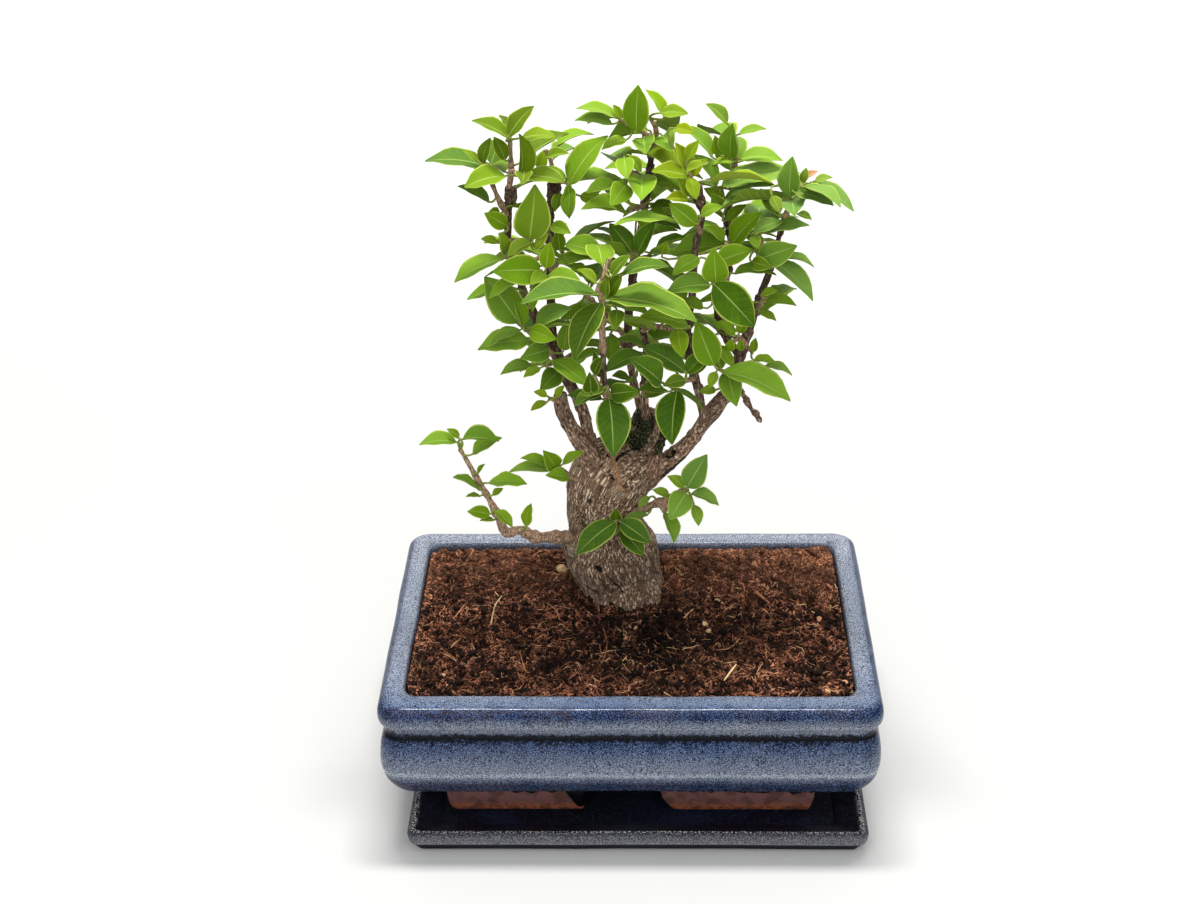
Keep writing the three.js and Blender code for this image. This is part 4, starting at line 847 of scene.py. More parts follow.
# The tray's profile in the same way; its last number is how glossy the glaze is, and where painted glints go
# on the lip.
TRAY_WALL = [
    (24.0, 2.2, 0.0, 0.6, 0.0), (21.4, 2.0, 0.0, 0.6, 0.0), (21.0, 0.1, 0.0, 0.8, 0.0),
    (19.0, 0.0, 0.0, 0.8, 0.0), (12.4, 0.0, 0.0, 0.8, 0.0), (11.8, 0.6, 0.0, 0.8, 0.0),
    # From the base ring out to the lip the underside stays near-black: partly the black glaze and partly
    # painted shade under the overhanging wall.
    (10.8, 1.1, 0.0, 0.0, 0.0), (4.8, 0.9, 0.0, 0.0, 0.0), (3.9, 1.5, 0.0, 0.0, 0.0),
    (2.0, 4.6, 0.0, 0.0, 0.0), (1.2, 5.6, 1.0, 1.0, 0.0), (0.7, 7.4, 0.6, 1.0, 0.0),
    (0.4, 9.8, 0.4, 0.9, 0.0), (0.9, 10.7, 0.2, 0.7, 0.0), (1.8, 11.1, 0.1, 0.4, 0.3),
    (2.6, 11.2, 0.1, 0.2, 1.0), (3.3, 11.1, 0.1, 0.1, 1.0), (4.2, 10.4, 0.1, 0.1, 0.2),
    (5.2, 9.4, 0.1, 0.05, 0.0), (9.0, 7.4, 0.0, 0.05, 0.0), (13.0, 6.1, 0.0, 0.0, 0.0),
    (16.0, 5.7, 0.1, 0.0, 0.0), (40.0, 5.7, 0.4, 0.0, 0.0)]


def make_pot(glaze):
    """Pot body: the profile carried round the rounded rectangle, with two drilled drainage holes."""
    stations = eased(POT_WALL, PROFILE_SAMPLES)
    rings = rounded_rings(POT_HALF, POT_CORNER, stations[:, 0], stations[:, 1],
                          POT_CORNER_EASE, POT_LEAST_CORNER)
    body = loose(lofted(rings, UNEVEN["pot"]).mesh("pot_body"))
    drills = Skin()
    for side in (-1, 1):
        path = np.array([(side * HOLE_X, 0, height) for height in (POT_UNDERSIDE - 8, POT_FLOOR + 8)])
        drills.add(*tube(path, [HOLE_RADIUS] * 2, 32))
    drill = loose(drills.mesh("drills"))
    cut = body.modifiers.new("holes", "BOOLEAN")
    cut.operation, cut.object, cut.solver = "DIFFERENCE", drill, "EXACT"
    mesh = applied(body)
    bpy.data.objects.remove(drill)
    points = points_of(mesh)
    inset, numbers = wall_numbers(points, POT_HALF, POT_CORNER, stations)
    keep(mesh, "glaze", numbers)
    points[:, 1] += front_rim(points[:, 1]) * step(inset, *RIM_INSETS)
    move_to(mesh, points)
    piece("pot_glazed_body", mesh, [glaze], "pot_glaze", "pot")


def rounded_corners(plan, radius, samples):
    """Outlines with each corner replaced by the curve that leaves one edge radius before the corner and
    joins the next radius after it."""
    before = plan + unit(np.roll(plan, 1, 1) - plan) * radius
    after = plan + unit(np.roll(plan, -1, 1) - plan) * radius
    t = np.linspace(0, 1, samples)[None, None, :, None]
    arcs = bent(before[:, :, None], plan[:, :, None], after[:, :, None], t)
    return arcs.reshape(len(plan), -1, 2)


def make_feet(clay):
    """Bracket feet: an L in plan, rounded, that leans in towards its sole. Each ring is the outline at
    one height, moved by the lean of that height."""
    f = FEET
    levels = eased([(1.25, f["low"] + 0.2), (1.0, f["low"] + 0.8), (0.5, f["bend"]), (0.1, 17.0),
                    (0.0, POT_UNDERSIDE + f["root"])], 4)
    lean, height = levels[:, 0] * f["splay"], levels[:, 1]
    skin = Skin()
    for sx in (-1, 1):
        for sy in (-1, 1):
            end_x, end_y = f["inner"][sx > 0] + lean * f["end_lean"][sx > 0], f["arm"] + lean * f["arm_lean"]
            back_x, back_y = (f[k] - f["wide"] + lean * f["back_lean"] for k in ("outer", "front"))
            face_x, face_y = f["outer"] - lean * f["side_lean"], f["front"] - lean
            plan = np.stack([np.stack(pair, -1) for pair in (
                (end_x, face_y), (face_x, face_y), (face_x, end_y),
                (back_x, end_y), (back_x, back_y), (end_x, back_y))], 1)
            ring = rounded_corners(plan, FOOT_ROUND, 5)
            count = ring.shape[1]
            points = np.concatenate([ring * (sx, sy), np.repeat(height[:, None, None], count, 1)], 2)
            if sx * sy > 0:
                points = points[:, ::-1]
            flat = points.reshape(-1, 3)
            flat = flat + ((field(flat, 5.0, 8) - 0.5) * UNEVEN["foot"])[:, None] * (sx, sy, 0.0)
            last = (len(height) - 1) * count
            base = np.arange(count)[None, ::-1]
            skin.add(flat, grid_quads(len(height), count, True), base, last + base[:, ::-1])
    piece("pot_bare_feet", skin.mesh("pot_bare_feet"), [clay], "pot_glaze", "pot")


def make_tray(glaze):
    """Drip tray: a thin rolled lip, a sloped wall down to a flat floor, a recessed base ring."""
    stations = eased(TRAY_WALL, PROFILE_SAMPLES)
    stations[:, 1] = np.maximum(stations[:, 1], 0)
    rings = rounded_rings(TRAY_HALF, TRAY_CORNER, stations[:, 0], stations[:, 1],
                          TRAY_CORNER_EASE, TRAY_LEAST_CORNER)
    mesh = lofted(rings, UNEVEN["tray"]).mesh("drip_tray_glazed")
    points = points_of(mesh)
    keep(mesh, "glaze", wall_numbers(points, TRAY_HALF, TRAY_CORNER, stations)[1])
    points[:, 0] += TRAY_SHIFT
    points[:, 2] = np.maximum(points[:, 2], 0)
    move_to(mesh, points)
    piece("drip_tray_glazed", mesh, [glaze], "tray_glaze", "tray")


# ------------------------------------------------------------------ soil

SOIL_HALF = POT_HALF - SOIL_EDGE
SOIL_GRID = (300, 196) # points of the soil's skin from left to right and from front to back
SOIL_BLOCK = dict(lift=1.2, share=0.96) # mm off the pot's floor; width of its underside over its top's
SOIL_BANK = dict(high=1.1, wide=16.0, back=1.0, long=30.0) # how far the soil climbs at the walls
SHADOW_SPOT = dict(x=10.0, y=-22.0, wide=34.0, long=30.0) # painted shadow of the trunk and crown on the soil before the trunk
CREST, HOLLOW = (-1.1, 1.3), (0.2, -1.3) # heights of the relief from no crest to full, and from no hollow to full; hollows get painted shade
TRUNK_FOOT, TRUNK_CLEAR = (622, 590, 29), 15.0 # column, row, depth; how far off loose bits stay, in mm
FIBRES = dict(count=5000, wall=3.5, knots=7, short=3.0, longer=13.0, bend=0.7, wave=0.35,
              thick=(0.10, 0.22), rise=(-0.1, 0.9), straws=0.04, straw_tint=0.94)
CRUMBS = dict(count=11000, wall=1.6, small=0.22, bigger=1.2)


def soil_top(x, y):
    """Height of the soil: higher at the front, hollowed before the trunk, uneven by two waves."""
    share = (y + POT_HALF[1]) / (2 * POT_HALF[1])
    spread = ((x - SOIL_HOLLOW["x"]) ** 2 + (y - SOIL_HOLLOW["y"]) ** 2) / SOIL_HOLLOW["wide"] ** 2
    uneven = sum(high * np.sin(kx * x + 1) * np.cos(ky * y) for high, kx, ky in SOIL_WAVES)
    return SOIL_FRONT + (SOIL_BACK - SOIL_FRONT) * share - SOIL_HOLLOW["deep"] * np.exp(-spread) + uneven


def soil_relief(x, y):
    """Lumps of coir on the soil: slow heaps, ridged clods, ridged crumbs and fine grain, each about its
    own middle height."""
    flat = np.stack([x, y], -1)
    return (2.0 * (field(flat, 17.0, 10) - 0.5) + 2.6 * (ridged(flat, 6.5, 11) - 0.6)
            + 2.2 * (ridged(flat, 2.9, 12) - 0.55) + 1.2 * (field(flat, 1.5, 13) - 0.5))


def soil_height(x, y):
    """Soil with its relief, flattened towards the pot's wall and banked up at the left, right and back."""
    edge = np.minimum(SOIL_HALF[0] - np.abs(x), SOIL_HALF[1] - np.abs(y))
    bank = (SOIL_BANK["high"] * step(np.abs(x), SOIL_HALF[0] - SOIL_BANK["wide"], SOIL_HALF[0])
            + SOIL_BANK["back"] * step(y, SOIL_HALF[1] - SOIL_BANK["long"], SOIL_HALF[1]))
    return soil_top(x, y) + bank + soil_relief(x, y) * (0.4 + 0.6 * step(edge, 0, 7))


def on_crests(x, y):
    """From 0 in the hollows of the soil to 1 on its crests."""
    return step(soil_relief(x, y), *CREST)


def painted_shadow(points):
    """Painted shadow of the trunk and crown on the soil: 1 in the middle of a spot before the trunk, falling
    off as a bell.
    """
    aside, ahead = points[:, 0] - SHADOW_SPOT["x"], points[:, 1] - SHADOW_SPOT["y"]
    return np.exp(-(aside / SHADOW_SPOT["wide"]) ** 2 - (ahead / SHADOW_SPOT["long"]) ** 2)


def make_soil(soil):
    """Bed of soil: a grid squeezed into the rounded rectangle of the wall, over a flat-bottomed block. In a
    corner a point moves in along its ray from the corner's centre, until it is as far off as the larger of
    its two distances along X and Y. Low spots of the relief are kept as a painted shade in the hollows."""
    columns, rows = SOIL_GRID
    u, v = np.meshgrid(np.linspace(-1, 1, columns), np.linspace(-1, 1, rows))
    x, y = u * SOIL_HALF[0], v * SOIL_HALF[1]
    over_x = np.abs(x) - (SOIL_HALF[0] - SOIL_CORNER)
    over_y = np.abs(y) - (SOIL_HALF[1] - SOIL_CORNER)
    corner = (over_x > 0) & (over_y > 0)
    longest = np.maximum(over_x, over_y)
    squeeze = np.where(corner, longest / np.maximum(np.hypot(over_x, over_y), 1e-6), 1)
    x = np.where(corner, np.sign(x) * (SOIL_HALF[0] - SOIL_CORNER + over_x * squeeze), x).ravel()
    y = np.where(corner, np.sign(y) * (SOIL_HALF[1] - SOIL_CORNER + over_y * squeeze), y).ravel()
    y = y + front_rim(y)
    top = np.stack([x, y, soil_height(x, y)], -1)
    index = np.arange(rows * columns).reshape(rows, columns)
    rim = np.concatenate([index[0, :-1], index[:-1, -1], index[-1, :0:-1], index[:0:-1, 0]])
    base = top[rim] * (1, 1, 0) + (0, 0, POT_FLOOR + SOIL_BLOCK["lift"])
    base[:, :2] *= SOIL_BLOCK["share"]
    low = len(top) + np.arange(len(rim))
    after, low_after = np.roll(rim, -1), np.roll(low, -1)
    points = np.vstack([top, base])
    gaps = step(soil_relief(points[:, 0], points[:, 1]), *HOLLOW)
    skin = Skin()
    skin.add(points, grid_quads(rows, columns, False), np.stack([rim, low, low_after, after], -1),
             low[None, ::-1], bits=np.column_stack([gaps * 0, gaps, painted_shadow(points)]))
    piece("soil_bed", skin.mesh("soil_bed"), [soil], "soil", "soil")


def shade_bits(tint, points, gap=0):
    """Kept numbers of loose bits: their tint; 0 for no painted hollow shade on a crumb, or less on what the
    dark crumbs leave out; and the painted shadow of the trunk and crown there."""
    return np.column_stack([tint, tint * 0 + gap, painted_shadow(points)])


def scatter(draw, count, margin):
    """Random places on the soil at least margin mm from the pot's wall, clear of the trunk."""
    trunk = place(*TRUNK_FOOT)
    x = draw.uniform(-1, 1, count * 2) * (SOIL_HALF[0] - margin)
    y = draw.uniform(-1, 1, count * 2) * (SOIL_HALF[1] - margin)
    clear = np.hypot(x - trunk[0], y - trunk[1]) > TRUNK_CLEAR
    return x[clear][:count], y[clear][:count]


def make_fibres(soil):
    """Coir fibres: thin three-sided tubes that lie over the lumps. The heading of a fibre turns by an
    even bend and a wave along its length, and its height is that of the soil under it, evened out, plus a
    rise in the middle. Its radius is drawn in at both ends."""
    draw = np.random.default_rng(21)
    knots, sides = FIBRES["knots"], 3
    x, y = scatter(draw, FIBRES["count"], FIBRES["wall"])
    count = len(x)
    length = FIBRES["short"] + FIBRES["longer"] * draw.random(count) ** 2.0
    heading = draw.uniform(0, 2 * math.pi, count)
    bend, wave = draw.normal(0, FIBRES["bend"], count), draw.normal(0, FIBRES["wave"], count)
    phase = draw.random(count)
    thick = draw.uniform(*FIBRES["thick"], count)
    rise = draw.uniform(*FIBRES["rise"], count)
    s = np.linspace(-0.5, 0.5, knots)
    turn = (heading[:, None] + bend[:, None] * s
            + wave[:, None] * np.sin(2 * math.pi * (1.3 * s + phase[:, None])))
    limit = SOIL_HALF - 0.8
    px = np.clip(x[:, None] + length[:, None] * np.cumsum(np.cos(turn), 1) / knots, -limit[0], limit[0])
    py = np.clip(y[:, None] + length[:, None] * np.cumsum(np.sin(turn), 1) / knots, -limit[1], limit[1])
    pz = soil_height(px.ravel(), py.ravel()).reshape(px.shape)
    pz[:, 1:-1] = np.maximum(pz[:, 1:-1], (pz[:, :-2] + pz[:, 1:-1] + pz[:, 2:]) / 3)
    pz += 0.12 + rise[:, None] * (1 - 4 * s * s)
    path = np.stack([px, py, pz], -1)
    ahead = unit(np.gradient(path, axis=1))
    across = unit(np.cross(ahead, (0, 0, 1)))
    up = np.cross(across, ahead)
    radius = thick[:, None] * np.sqrt(np.clip(1.15 - 4 * s * s, 0.1, 1))
    points = circles(path, across, up, radius, sides).reshape(-1, 3)
    each = knots * sides
    ends = np.array([[2, 1, 0], [each - 3, each - 2, each - 1]])
    # fibres in the hollows of the soil are painted darker, as painted shade
    tint = np.where(draw.random(count) < FIBRES["straws"], FIBRES["straw_tint"],
                    (0.12 + 0.7 * draw.random(count)) * (0.5 + 0.7 * on_crests(x, y)))
    skin = Skin()
    skin.add(points, for_each(grid_quads(knots, sides, True), count, each), for_each(ends, count, each),
             bits=shade_bits(np.repeat(tint, each), points, -1))
    piece("soil_fibres", skin.mesh("soil_fibres"), [soil], "soil", "soil")


def make_crumbs(soil):
    """Crumbs of peat strewn over the soil: eight-cornered lumps, stretched and turned at random. Most are
    small, and the big ones are dark; all are painted darker in the hollows of the soil, as painted shade."""
    draw = np.random.default_rng(22)
    x, y = scatter(draw, CRUMBS["count"], CRUMBS["wall"])
    count = len(x)
    size = CRUMBS["small"] + CRUMBS["bigger"] * draw.random(count) ** 4
    centre = np.stack([x, y, soil_height(x, y) + size * 0.3], -1)
    # crumbs in the hollows of the soil are painted darker, as painted shade
    tint = (0.03 + 0.68 * draw.random(count) ** 1.3) * (0.3 + 0.9 * on_crests(x, y)) * step(size, 1.8, 0.6)
    corners = np.array([(a, b, c) for a in (-1, 1) for b in (-1, 1) for c in (-1, 1)], float)
    quads = np.array([(0, 1, 3, 2), (4, 6, 7, 5), (0, 4, 5, 1), (2, 3, 7, 6), (0, 2, 6, 4), (1, 5, 7, 3)])
    stretch = draw.uniform(0.6, 1.4, (count, 3)) * size[:, None]
    lump = corners[None] * draw.uniform(0.45, 1.0, (count, 8, 3)) * stretch[:, None]
    angle = draw.uniform(0, 2 * math.pi, count)[:, None]
    turned = np.stack([lump[..., 0] * np.cos(angle) - lump[..., 1] * np.sin(angle),
                       lump[..., 0] * np.sin(angle) + lump[..., 1] * np.cos(angle),
                       lump[..., 2] * 0.8], -1)
    points = (turned + centre[:, None]).reshape(-1, 3)
    skin = Skin()
    skin.add(points, for_each(quads, count, 8), bits=shade_bits(np.repeat(tint, 8), points))
    piece("soil_crumbs", skin.mesh("soil_crumbs"), [soil], "soil", "soil")


def on_soil(columns, rows):
    """Where lines of sight through places of the frame meet the soil: the ray is cut at the soil's
    height, which is then taken anew at the place found."""
    ray = rays(columns, rows)
    height = np.full(len(ray), SOIL_FRONT)
    for _ in range(4):
        spot = EYE + ray * ((height - EYE[2]) / ray[:, 2])[:, None]
        height = soil_height(spot[:, 0], spot[:, 1])
    return spot


# Single bits on the soil: places of the frame along a straw, its radius in mm, tint.
STRAWS = [
    ([(502, 598), (496, 606), (493, 616), (491, 627)], 0.32, 1.0),
    ([(465, 606), (459, 614), (453, 621)], 0.22, 0.85),
    ([(461, 641), (455, 646), (451, 650)], 0.5, 0.9),
    ([(598, 618), (603, 630), (607, 645), (604, 660), (598, 670)], 0.28, 0.72),
    ([(546, 604), (556, 612), (560, 622)], 0.2, 0.8),
    ([(520, 655), (524, 668), (526, 674)], 0.2, 0.75),
    ([(724, 683), (730, 675), (736, 667)], 0.45, 1.0),
    ([(684, 620), (691, 613), (698, 608)], 0.3, 0.95),
    ([(748, 588), (758, 597), (769, 606)], 0.8, 0.6),
    ([(630, 645), (635, 650), (639, 655)], 0.8, 0.5),
    ([(740, 640), (730, 650), (716, 652)], 0.24, 0.85),
    ([(700, 668), (712, 661), (722, 664)], 0.2, 0.75),
    ([(636, 650), (640, 656)], 0.5, 0.8),
    ([(598, 606), (599, 614)], 0.6, 0.7)]
# Pebbles and bark chips: place of the frame, radius in mm, tint.
PEBBLES = [(563, 571, 2.6, 0.98), (572, 574, 1.3, 0.9), (630, 628, 1.0, 0.95), (637, 633, 0.8, 0.9),
           (626, 640, 0.9, 0.85), (648, 628, 0.8, 0.9), (617, 606, 0.9, 0.9), (444, 676, 0.6, 1.0),
           (754, 566, 1.4, 0.85), (705, 626, 1.3, 0.98), (709, 632, 1.0, 0.95), (718, 601, 1.1, 0.95),
           (819, 621, 1.3, 0.8), (828, 693, 1.2, 0.9), (845, 684, 1.0, 0.9), (635, 629, 0.9, 0.92)]


def make_litter(soil):
    """Straws, chips and pebbles lying on the soil. A straw thins towards its ends as a sine, and a pebble
    is a low ball, swollen and dented by the smooth field."""
    skin = Skin()
    for route, radius, tint in STRAWS:
        path = eased(on_soil(*np.array(route, float).T) + (0, 0, 0.8 + radius), 6)
        share = np.linspace(0, 1, len(path))
        points, quads, caps = tube(path, radius * (0.55 + 0.45 * np.sin(math.pi * share)), 6)
        skin.add(points, quads, caps, bits=shade_bits(np.full(len(points), tint), points, -1))
    column, row, radii, tints = np.array(PEBBLES).T
    spots = on_soil(column, row) + (0, 0, 1) * (0.3 + radii * 0.35)[:, None]
    for spot, radius, tint in zip(spots, radii, tints):
        points, quads, caps = ball(spot, radius, 9, 12, 0.97, 0.8)
        points = spot + (points - spot) * (1 + 1.3 * (field(points, radius, 24) - 0.5))[:, None]
        skin.add(points, quads, caps, bits=shade_bits(np.full(len(points), tint), points, -0.6))
    piece("soil_litter", skin.mesh("soil_litter"), [soil], "soil", "soil")


# ------------------------------------------------------------------ wood

VOXEL = 0.7 # mm between points of the wood's skin
AT_ONCE = 4096 # points whose nearest axis is looked for together
LIMBS_APART = (11, 37.0) # mm by which a limb's grain is shifted from the last one's, across and along
# Marks on the wood, from one place of the frame to another: half width in mm, how far the middle is pressed
# in, and strengths of dark (partly the wood's own, partly painted shade in the pressed-in places), pale,
# moss, scar.
MARKS = [
    (589, 502, 589, 502, 2.6, -0.7, 0.0, 0.3, 0.0, 0.0), # knot: a raised ring
    (589, 502, 589, 502, 1.1, 1.6, 0.9, 0.0, 0.0, 0.0),
    (614, 458, 618, 482, 1.4, -0.5, 0.0, 0.0, 0.0, 1.0), # peeled strip, widening to a scrap
    (618, 482, 619, 488, 1.8, -0.5, 0.0, 0.5, 0.0, 1.0),
    (613, 492, 623, 495, 2.0, -0.6, 0.0, 0.7, 0.0, 1.0),
    (617, 459, 626, 450, 0.8, 1.7, 1.0, 0.0, 0.3, 0.0), # crease over the healed cut
    (626, 450, 640, 447, 0.8, 1.9, 1.0, 0.0, 0.3, 0.0),
    (640, 447, 655, 453, 0.8, 1.7, 1.0, 0.0, 0.3, 0.0),
    (605, 452, 613, 480, 1.0, 1.3, 0.9, 0.0, 0.0, 0.0), # crevice beside it
    (597, 568, 600, 570, 1.5, 1.6, 1.0, 0.0, 0.0, 0.0), # hole and the crack below it
    (603, 571, 606, 574, 1.0, -0.4, 0.0, 0.5, 0.0, 0.8),
    (606, 574, 622, 592, 0.7, 0.9, 0.9, 0.0, 0.0, 0.0),
    (641, 418, 657, 444, 5.0, 0.4, 0.2, 0.0, 1.0, 0.0), # old mossy cut
    (634, 440, 660, 438, 4.5, 0.3, 0.2, 0.0, 1.0, 0.0),
    (576, 508, 586, 530, 3.0, 0.2, 0.0, 0.0, 0.45, 0.0), # moss at the waist
    (590, 536, 612, 526, 2.4, 0.2, 0.0, 0.0, 0.4, 0.0),
    (632, 450, 650, 456, 0.9, -0.5, 0.0, 0.5, 0.0, 0.0), # pale rolled rim of the healed cut
    (669, 456, 673, 452, 1.6, 1.1, 0.8, 0.0, 0.7, 0.0), # moss hollow by the right limb
    (684, 458, 664, 476, 1.2, 0.1, 0.1, 0.0, 0.75, 0.0), # moss under the right limb
    (570, 545, 573, 553, 2.0, 0.1, 0.0, 0.9, 0.0, 0.0), # pale cut at the low branch
    (560, 396, 564, 398, 2.2, 0.2, 0.1, 0.7, 0.0, 0.0), # pale end of the left limb
    (592, 590, 600, 600, 2.0, 0.1, 0.0, 0.35, 0.35, 0.0), # lichen near the foot
    (642, 481, 644, 483, 1.3, -0.4, 0.0, 0.6, 0.0, 0.0)] # pale boss under the right limb


def wood_axes():
    """Samples of every limb's centre line: point, radius, direction, distance along, limb number."""
    rows = []
    for number, rings in enumerate(WOOD.values()):
        path = eased(np.column_stack(limb_of(rings)), 5)
        ahead = unit(np.gradient(path[:, :3], axis=0))
        gaps = np.linalg.norm(np.diff(path[:, :3], axis=0), axis=1)
        rows.append(np.column_stack([path, ahead, np.append(0, np.cumsum(gaps)), np.full(len(path), number)]))
    return np.vstack(rows)


def nearest_axis(points, axes):
    """Row of the centre line whose skin lies nearest to each point."""
    best = np.empty(len(points), int)
    for start in range(0, len(points), AT_ONCE):
        part = points[start:start + AT_ONCE]
        gap = np.linalg.norm(part[:, None] - axes[None, :, :3], axis=2) - axes[None, :, 3]
        best[start:start + AT_ONCE] = gap.argmin(1)
    return best


def on_skin(made, column, row):
    """Where the line of sight through a place of the frame meets the wood, in mm."""
    spot = made.ray_cast(Vector(EYE * MM), Vector(unit(rays(column, row))))[1]
    return np.array(spot) / MM


def fused_limbs():
    """Mesh of the limbs as knobbly tubes and the burls as balls, fused into one skin and smoothed."""
    raw = Skin()
    for rings in WOOD.values():
        path = eased(np.column_stack(limb_of(rings)), 6)
        knobs = 1 + 0.16 * (field(path[:, :3], 5.0, 31) - 0.5) * step(6 - path[:, 3], 0, 4)
        raw.add(*tube(path[:, :3], path[:, 3] * knobs, 24))
    for column, row, width, depth in BURLS:
        centre = place(column, row, depth)
        raw.add(*ball(centre, span(width, centre) / 2, 14, 24, 0.98))
    work = loose(raw.mesh("wood"))
    fuse = work.modifiers.new("fuse", "REMESH")
    fuse.mode, fuse.voxel_size = "VOXEL", VOXEL * MM
    melt = work.modifiers.new("melt", "SMOOTH")
    melt.factor, melt.iterations = 0.5, 5
    return applied(work)


def wood_marks(mesh, points):
    """How far the marks press each point in, and how strong they are there. A mark runs along the line
    between its two places on the skin. Over d half widths from it the depth falls as exp(-d²), and the
    strength by a smooth step."""
    holder = loose(mesh)
    bpy.context.view_layer.update()
    press, strengths = np.zeros(len(points)), np.zeros((len(points), 4))
    for start_column, start_row, end_column, end_row, half, depth, *strong in MARKS:
        start = on_skin(holder, start_column, start_row)
        line = on_skin(holder, end_column, end_row) - start
        share = np.clip(((points - start) @ line) / max(line @ line, 1e-6), 0, 1)
        away = np.linalg.norm(points - start - share[:, None] * line, axis=1) / half
        press += depth * np.exp(-away ** 2)
        strengths = np.maximum(strengths, step(away, 1.9, 0.2)[:, None] * strong)
    bpy.data.objects.remove(holder)
    return press, strengths


def make_wood(bark):
    """Trunk and limbs: the fused skin pushed out and in along its normals by fibres that follow each limb,
    slow lumps, and the marks. Thick wood is folded into fibres, slender wood has rings of leaf scars."""
    mesh = fused_limbs()
    points, normals = points_of(mesh), normals_of(mesh)
    axes = wood_axes()
    near = axes[nearest_axis(points, axes)]
    radius, ahead, along, limb = near[:, 3], near[:, 4:7], near[:, 7], near[:, 8]
    out = points - near[:, :3]
    out -= ahead * (out * ahead).sum(1, keepdims=True)
    across_shift, along_shift = LIMBS_APART
    grain = np.column_stack([out[:, 0] + limb * across_shift, out[:, 1], along + limb * along_shift])
    old = step(radius, 3.0, 12.0)

    fibres, coarse = ridged(grain / (1, 1, 2.2), 1.9, 32), ridged(grain / (1, 1, 1.7), 4.2, 33)
    lumps, fine = field(points, 11.0, 34) - 0.5, field(points, 2.2, 35) - 0.5
    scars = np.maximum(field(grain / (1, 1, 0.6), 2.4, 37) - 0.62, 0)
    press, strengths = wood_marks(mesh, points)
    dark_pale_moss, scar = strengths[:, :3], strengths[:, 3]
    push = (old * (0.6 * (fibres - 0.6) + 0.8 * (coarse - 0.6) + 1.7 * lumps)
            + (1 - old) * (0.25 * (fibres - 0.5) + 0.5 * lumps + 2.2 * scars) + 0.5 * fine * (0.4 + old)
            - press + strengths[:, 2] * 2.4 * (field(points, 1.7, 38) - 0.5))
    # where the fibres leave a groove in thick wood; the bark paints it dark as painted shade
    groove = step(0.62 - 0.5 * (fibres + coarse), 0, 0.25) * old
    move_to(mesh, points + normals * push[:, None])
    keep(mesh, "grain", grain)
    keep(mesh, "marks", dark_pale_moss)
    keep(mesh, "wood", np.column_stack([1 - old, scar, groove]))
    piece("bonsai_wood", mesh, [bark], "bark", "trunk")


# ------------------------------------------------------------------ leafy shoots

# Where the last station of a packed blade stands, as a share of its length, for the three kinds of blade,
# and half the width there over the blade's full width.
LAST_STATION, LAST_HALF = np.array([0.42, 0.64, 0.74]), np.array([0.52, 0.42, 0.38])
ALIKE = 0.02 # lengths this near in mm count as the same


def tips_of(node):
    """Tips of a packed shoot's blades, and the four points round each in order: corners where four
    triangles meet and whose far edges close in a loop."""
    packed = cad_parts[node].data
    triangles = np.empty(len(packed.polygons) * 3, np.int32)
    packed.polygons.foreach_get("vertices", triangles)
    raw = points_of(packed)
    _, first, welded = np.unique(np.round(raw, 3), axis=0, return_index=True, return_inverse=True)
    points = raw[first]
    triangles = welded.reshape(-1)[triangles].reshape(-1, 3)
    degree = np.bincount(triangles.ravel(), minlength=len(points))
    corners = np.vstack([np.roll(triangles, -k, 1) for k in range(3)])
    corners = corners[degree[corners[:, 0]] == 4]
    corners = corners[np.argsort(corners[:, 0], kind="stable")].reshape(-1, 4, 3)
    loop = [corners[:, 0, 1], corners[:, 0, 2]]
    closed = np.ones(len(corners), bool)
    for _ in range(2):
        match = corners[:, :, 1] == loop[-1][:, None]
        closed &= match.sum(1) == 1
        loop.append((corners[:, :, 2] * match).sum(1))
    return points[corners[closed, 0, 0]], points[np.stack(loop, 1)[closed]]


def blades_of(node):
    """Foot, axis, normal, length and width of every blade of a packed shoot.

    The points round a blade's tip are the last station's two margins, its rib and its keel, which stand
    the rib's thickness apart along the blade's normal. The blade's arch rises 4·bow·s·(1-s) of its
    length, so its fall from the rib to the tip, over the distance between them, is 4·bow·s: that gives
    the station's share s, and so the length."""
    tips, around = tips_of(node)
    found = []
    for shift in (0, 1):
        rib, left, keel, right = (around[:, (shift + k) % 4] for k in range(4))
        thick = np.linalg.norm(rib - keel, axis=1)
        sides = [np.linalg.norm(edge - tips, axis=1) for edge in (left, right)]
        true = (np.abs(thick - LEAF_RIB) < ALIKE) & (np.abs(sides[0] - sides[1]) < ALIKE)
        rib, left, keel, right, tip = (a[true] for a in (rib, left, keel, right, tips))
        normal = unit(rib - keel)
        flip = (((left + right - rib - keel) * normal).sum(1) < 0)[:, None]
        rib, normal = np.where(flip, keel, rib), np.where(flip, -normal, normal)
        axis = np.cross(normal, unit(left - right))
        axis *= np.sign(((tip - rib) * axis).sum(1))[:, None]
        run = ((tip - rib) * axis).sum(1)
        share = -((tip - rib) * normal).sum(1) / run / (4 * LEAF_BOW)
        length = run / (1 - share)
        half = np.linalg.norm(left - right, axis=1) / 2
        width = half / LAST_HALF[np.abs(share[:, None] - LAST_STATION).argmin(1)]
        found.append((tip - axis * length[:, None], axis, normal, length, width))
    return [np.concatenate(pair) for pair in zip(*found)]


BLADE_ROWS = 12 # stations along a blade
ACROSS = np.array([-1, -0.93, -0.6, -0.28, 0, 0.28, 0.6, 0.93, 1]) # places from margin to margin
SHELL = 0.2 # half the thickness of a blade
# Mean and spread of how each blade is bent.
BLADE_DRAWS = dict(droop=(0.035, 0.03), twist=(0, 0.16), aside=(0, 0.03), phase=(0, 3),
                   wavy=(0.03, 0.012), curl=(0.10, 0.15))


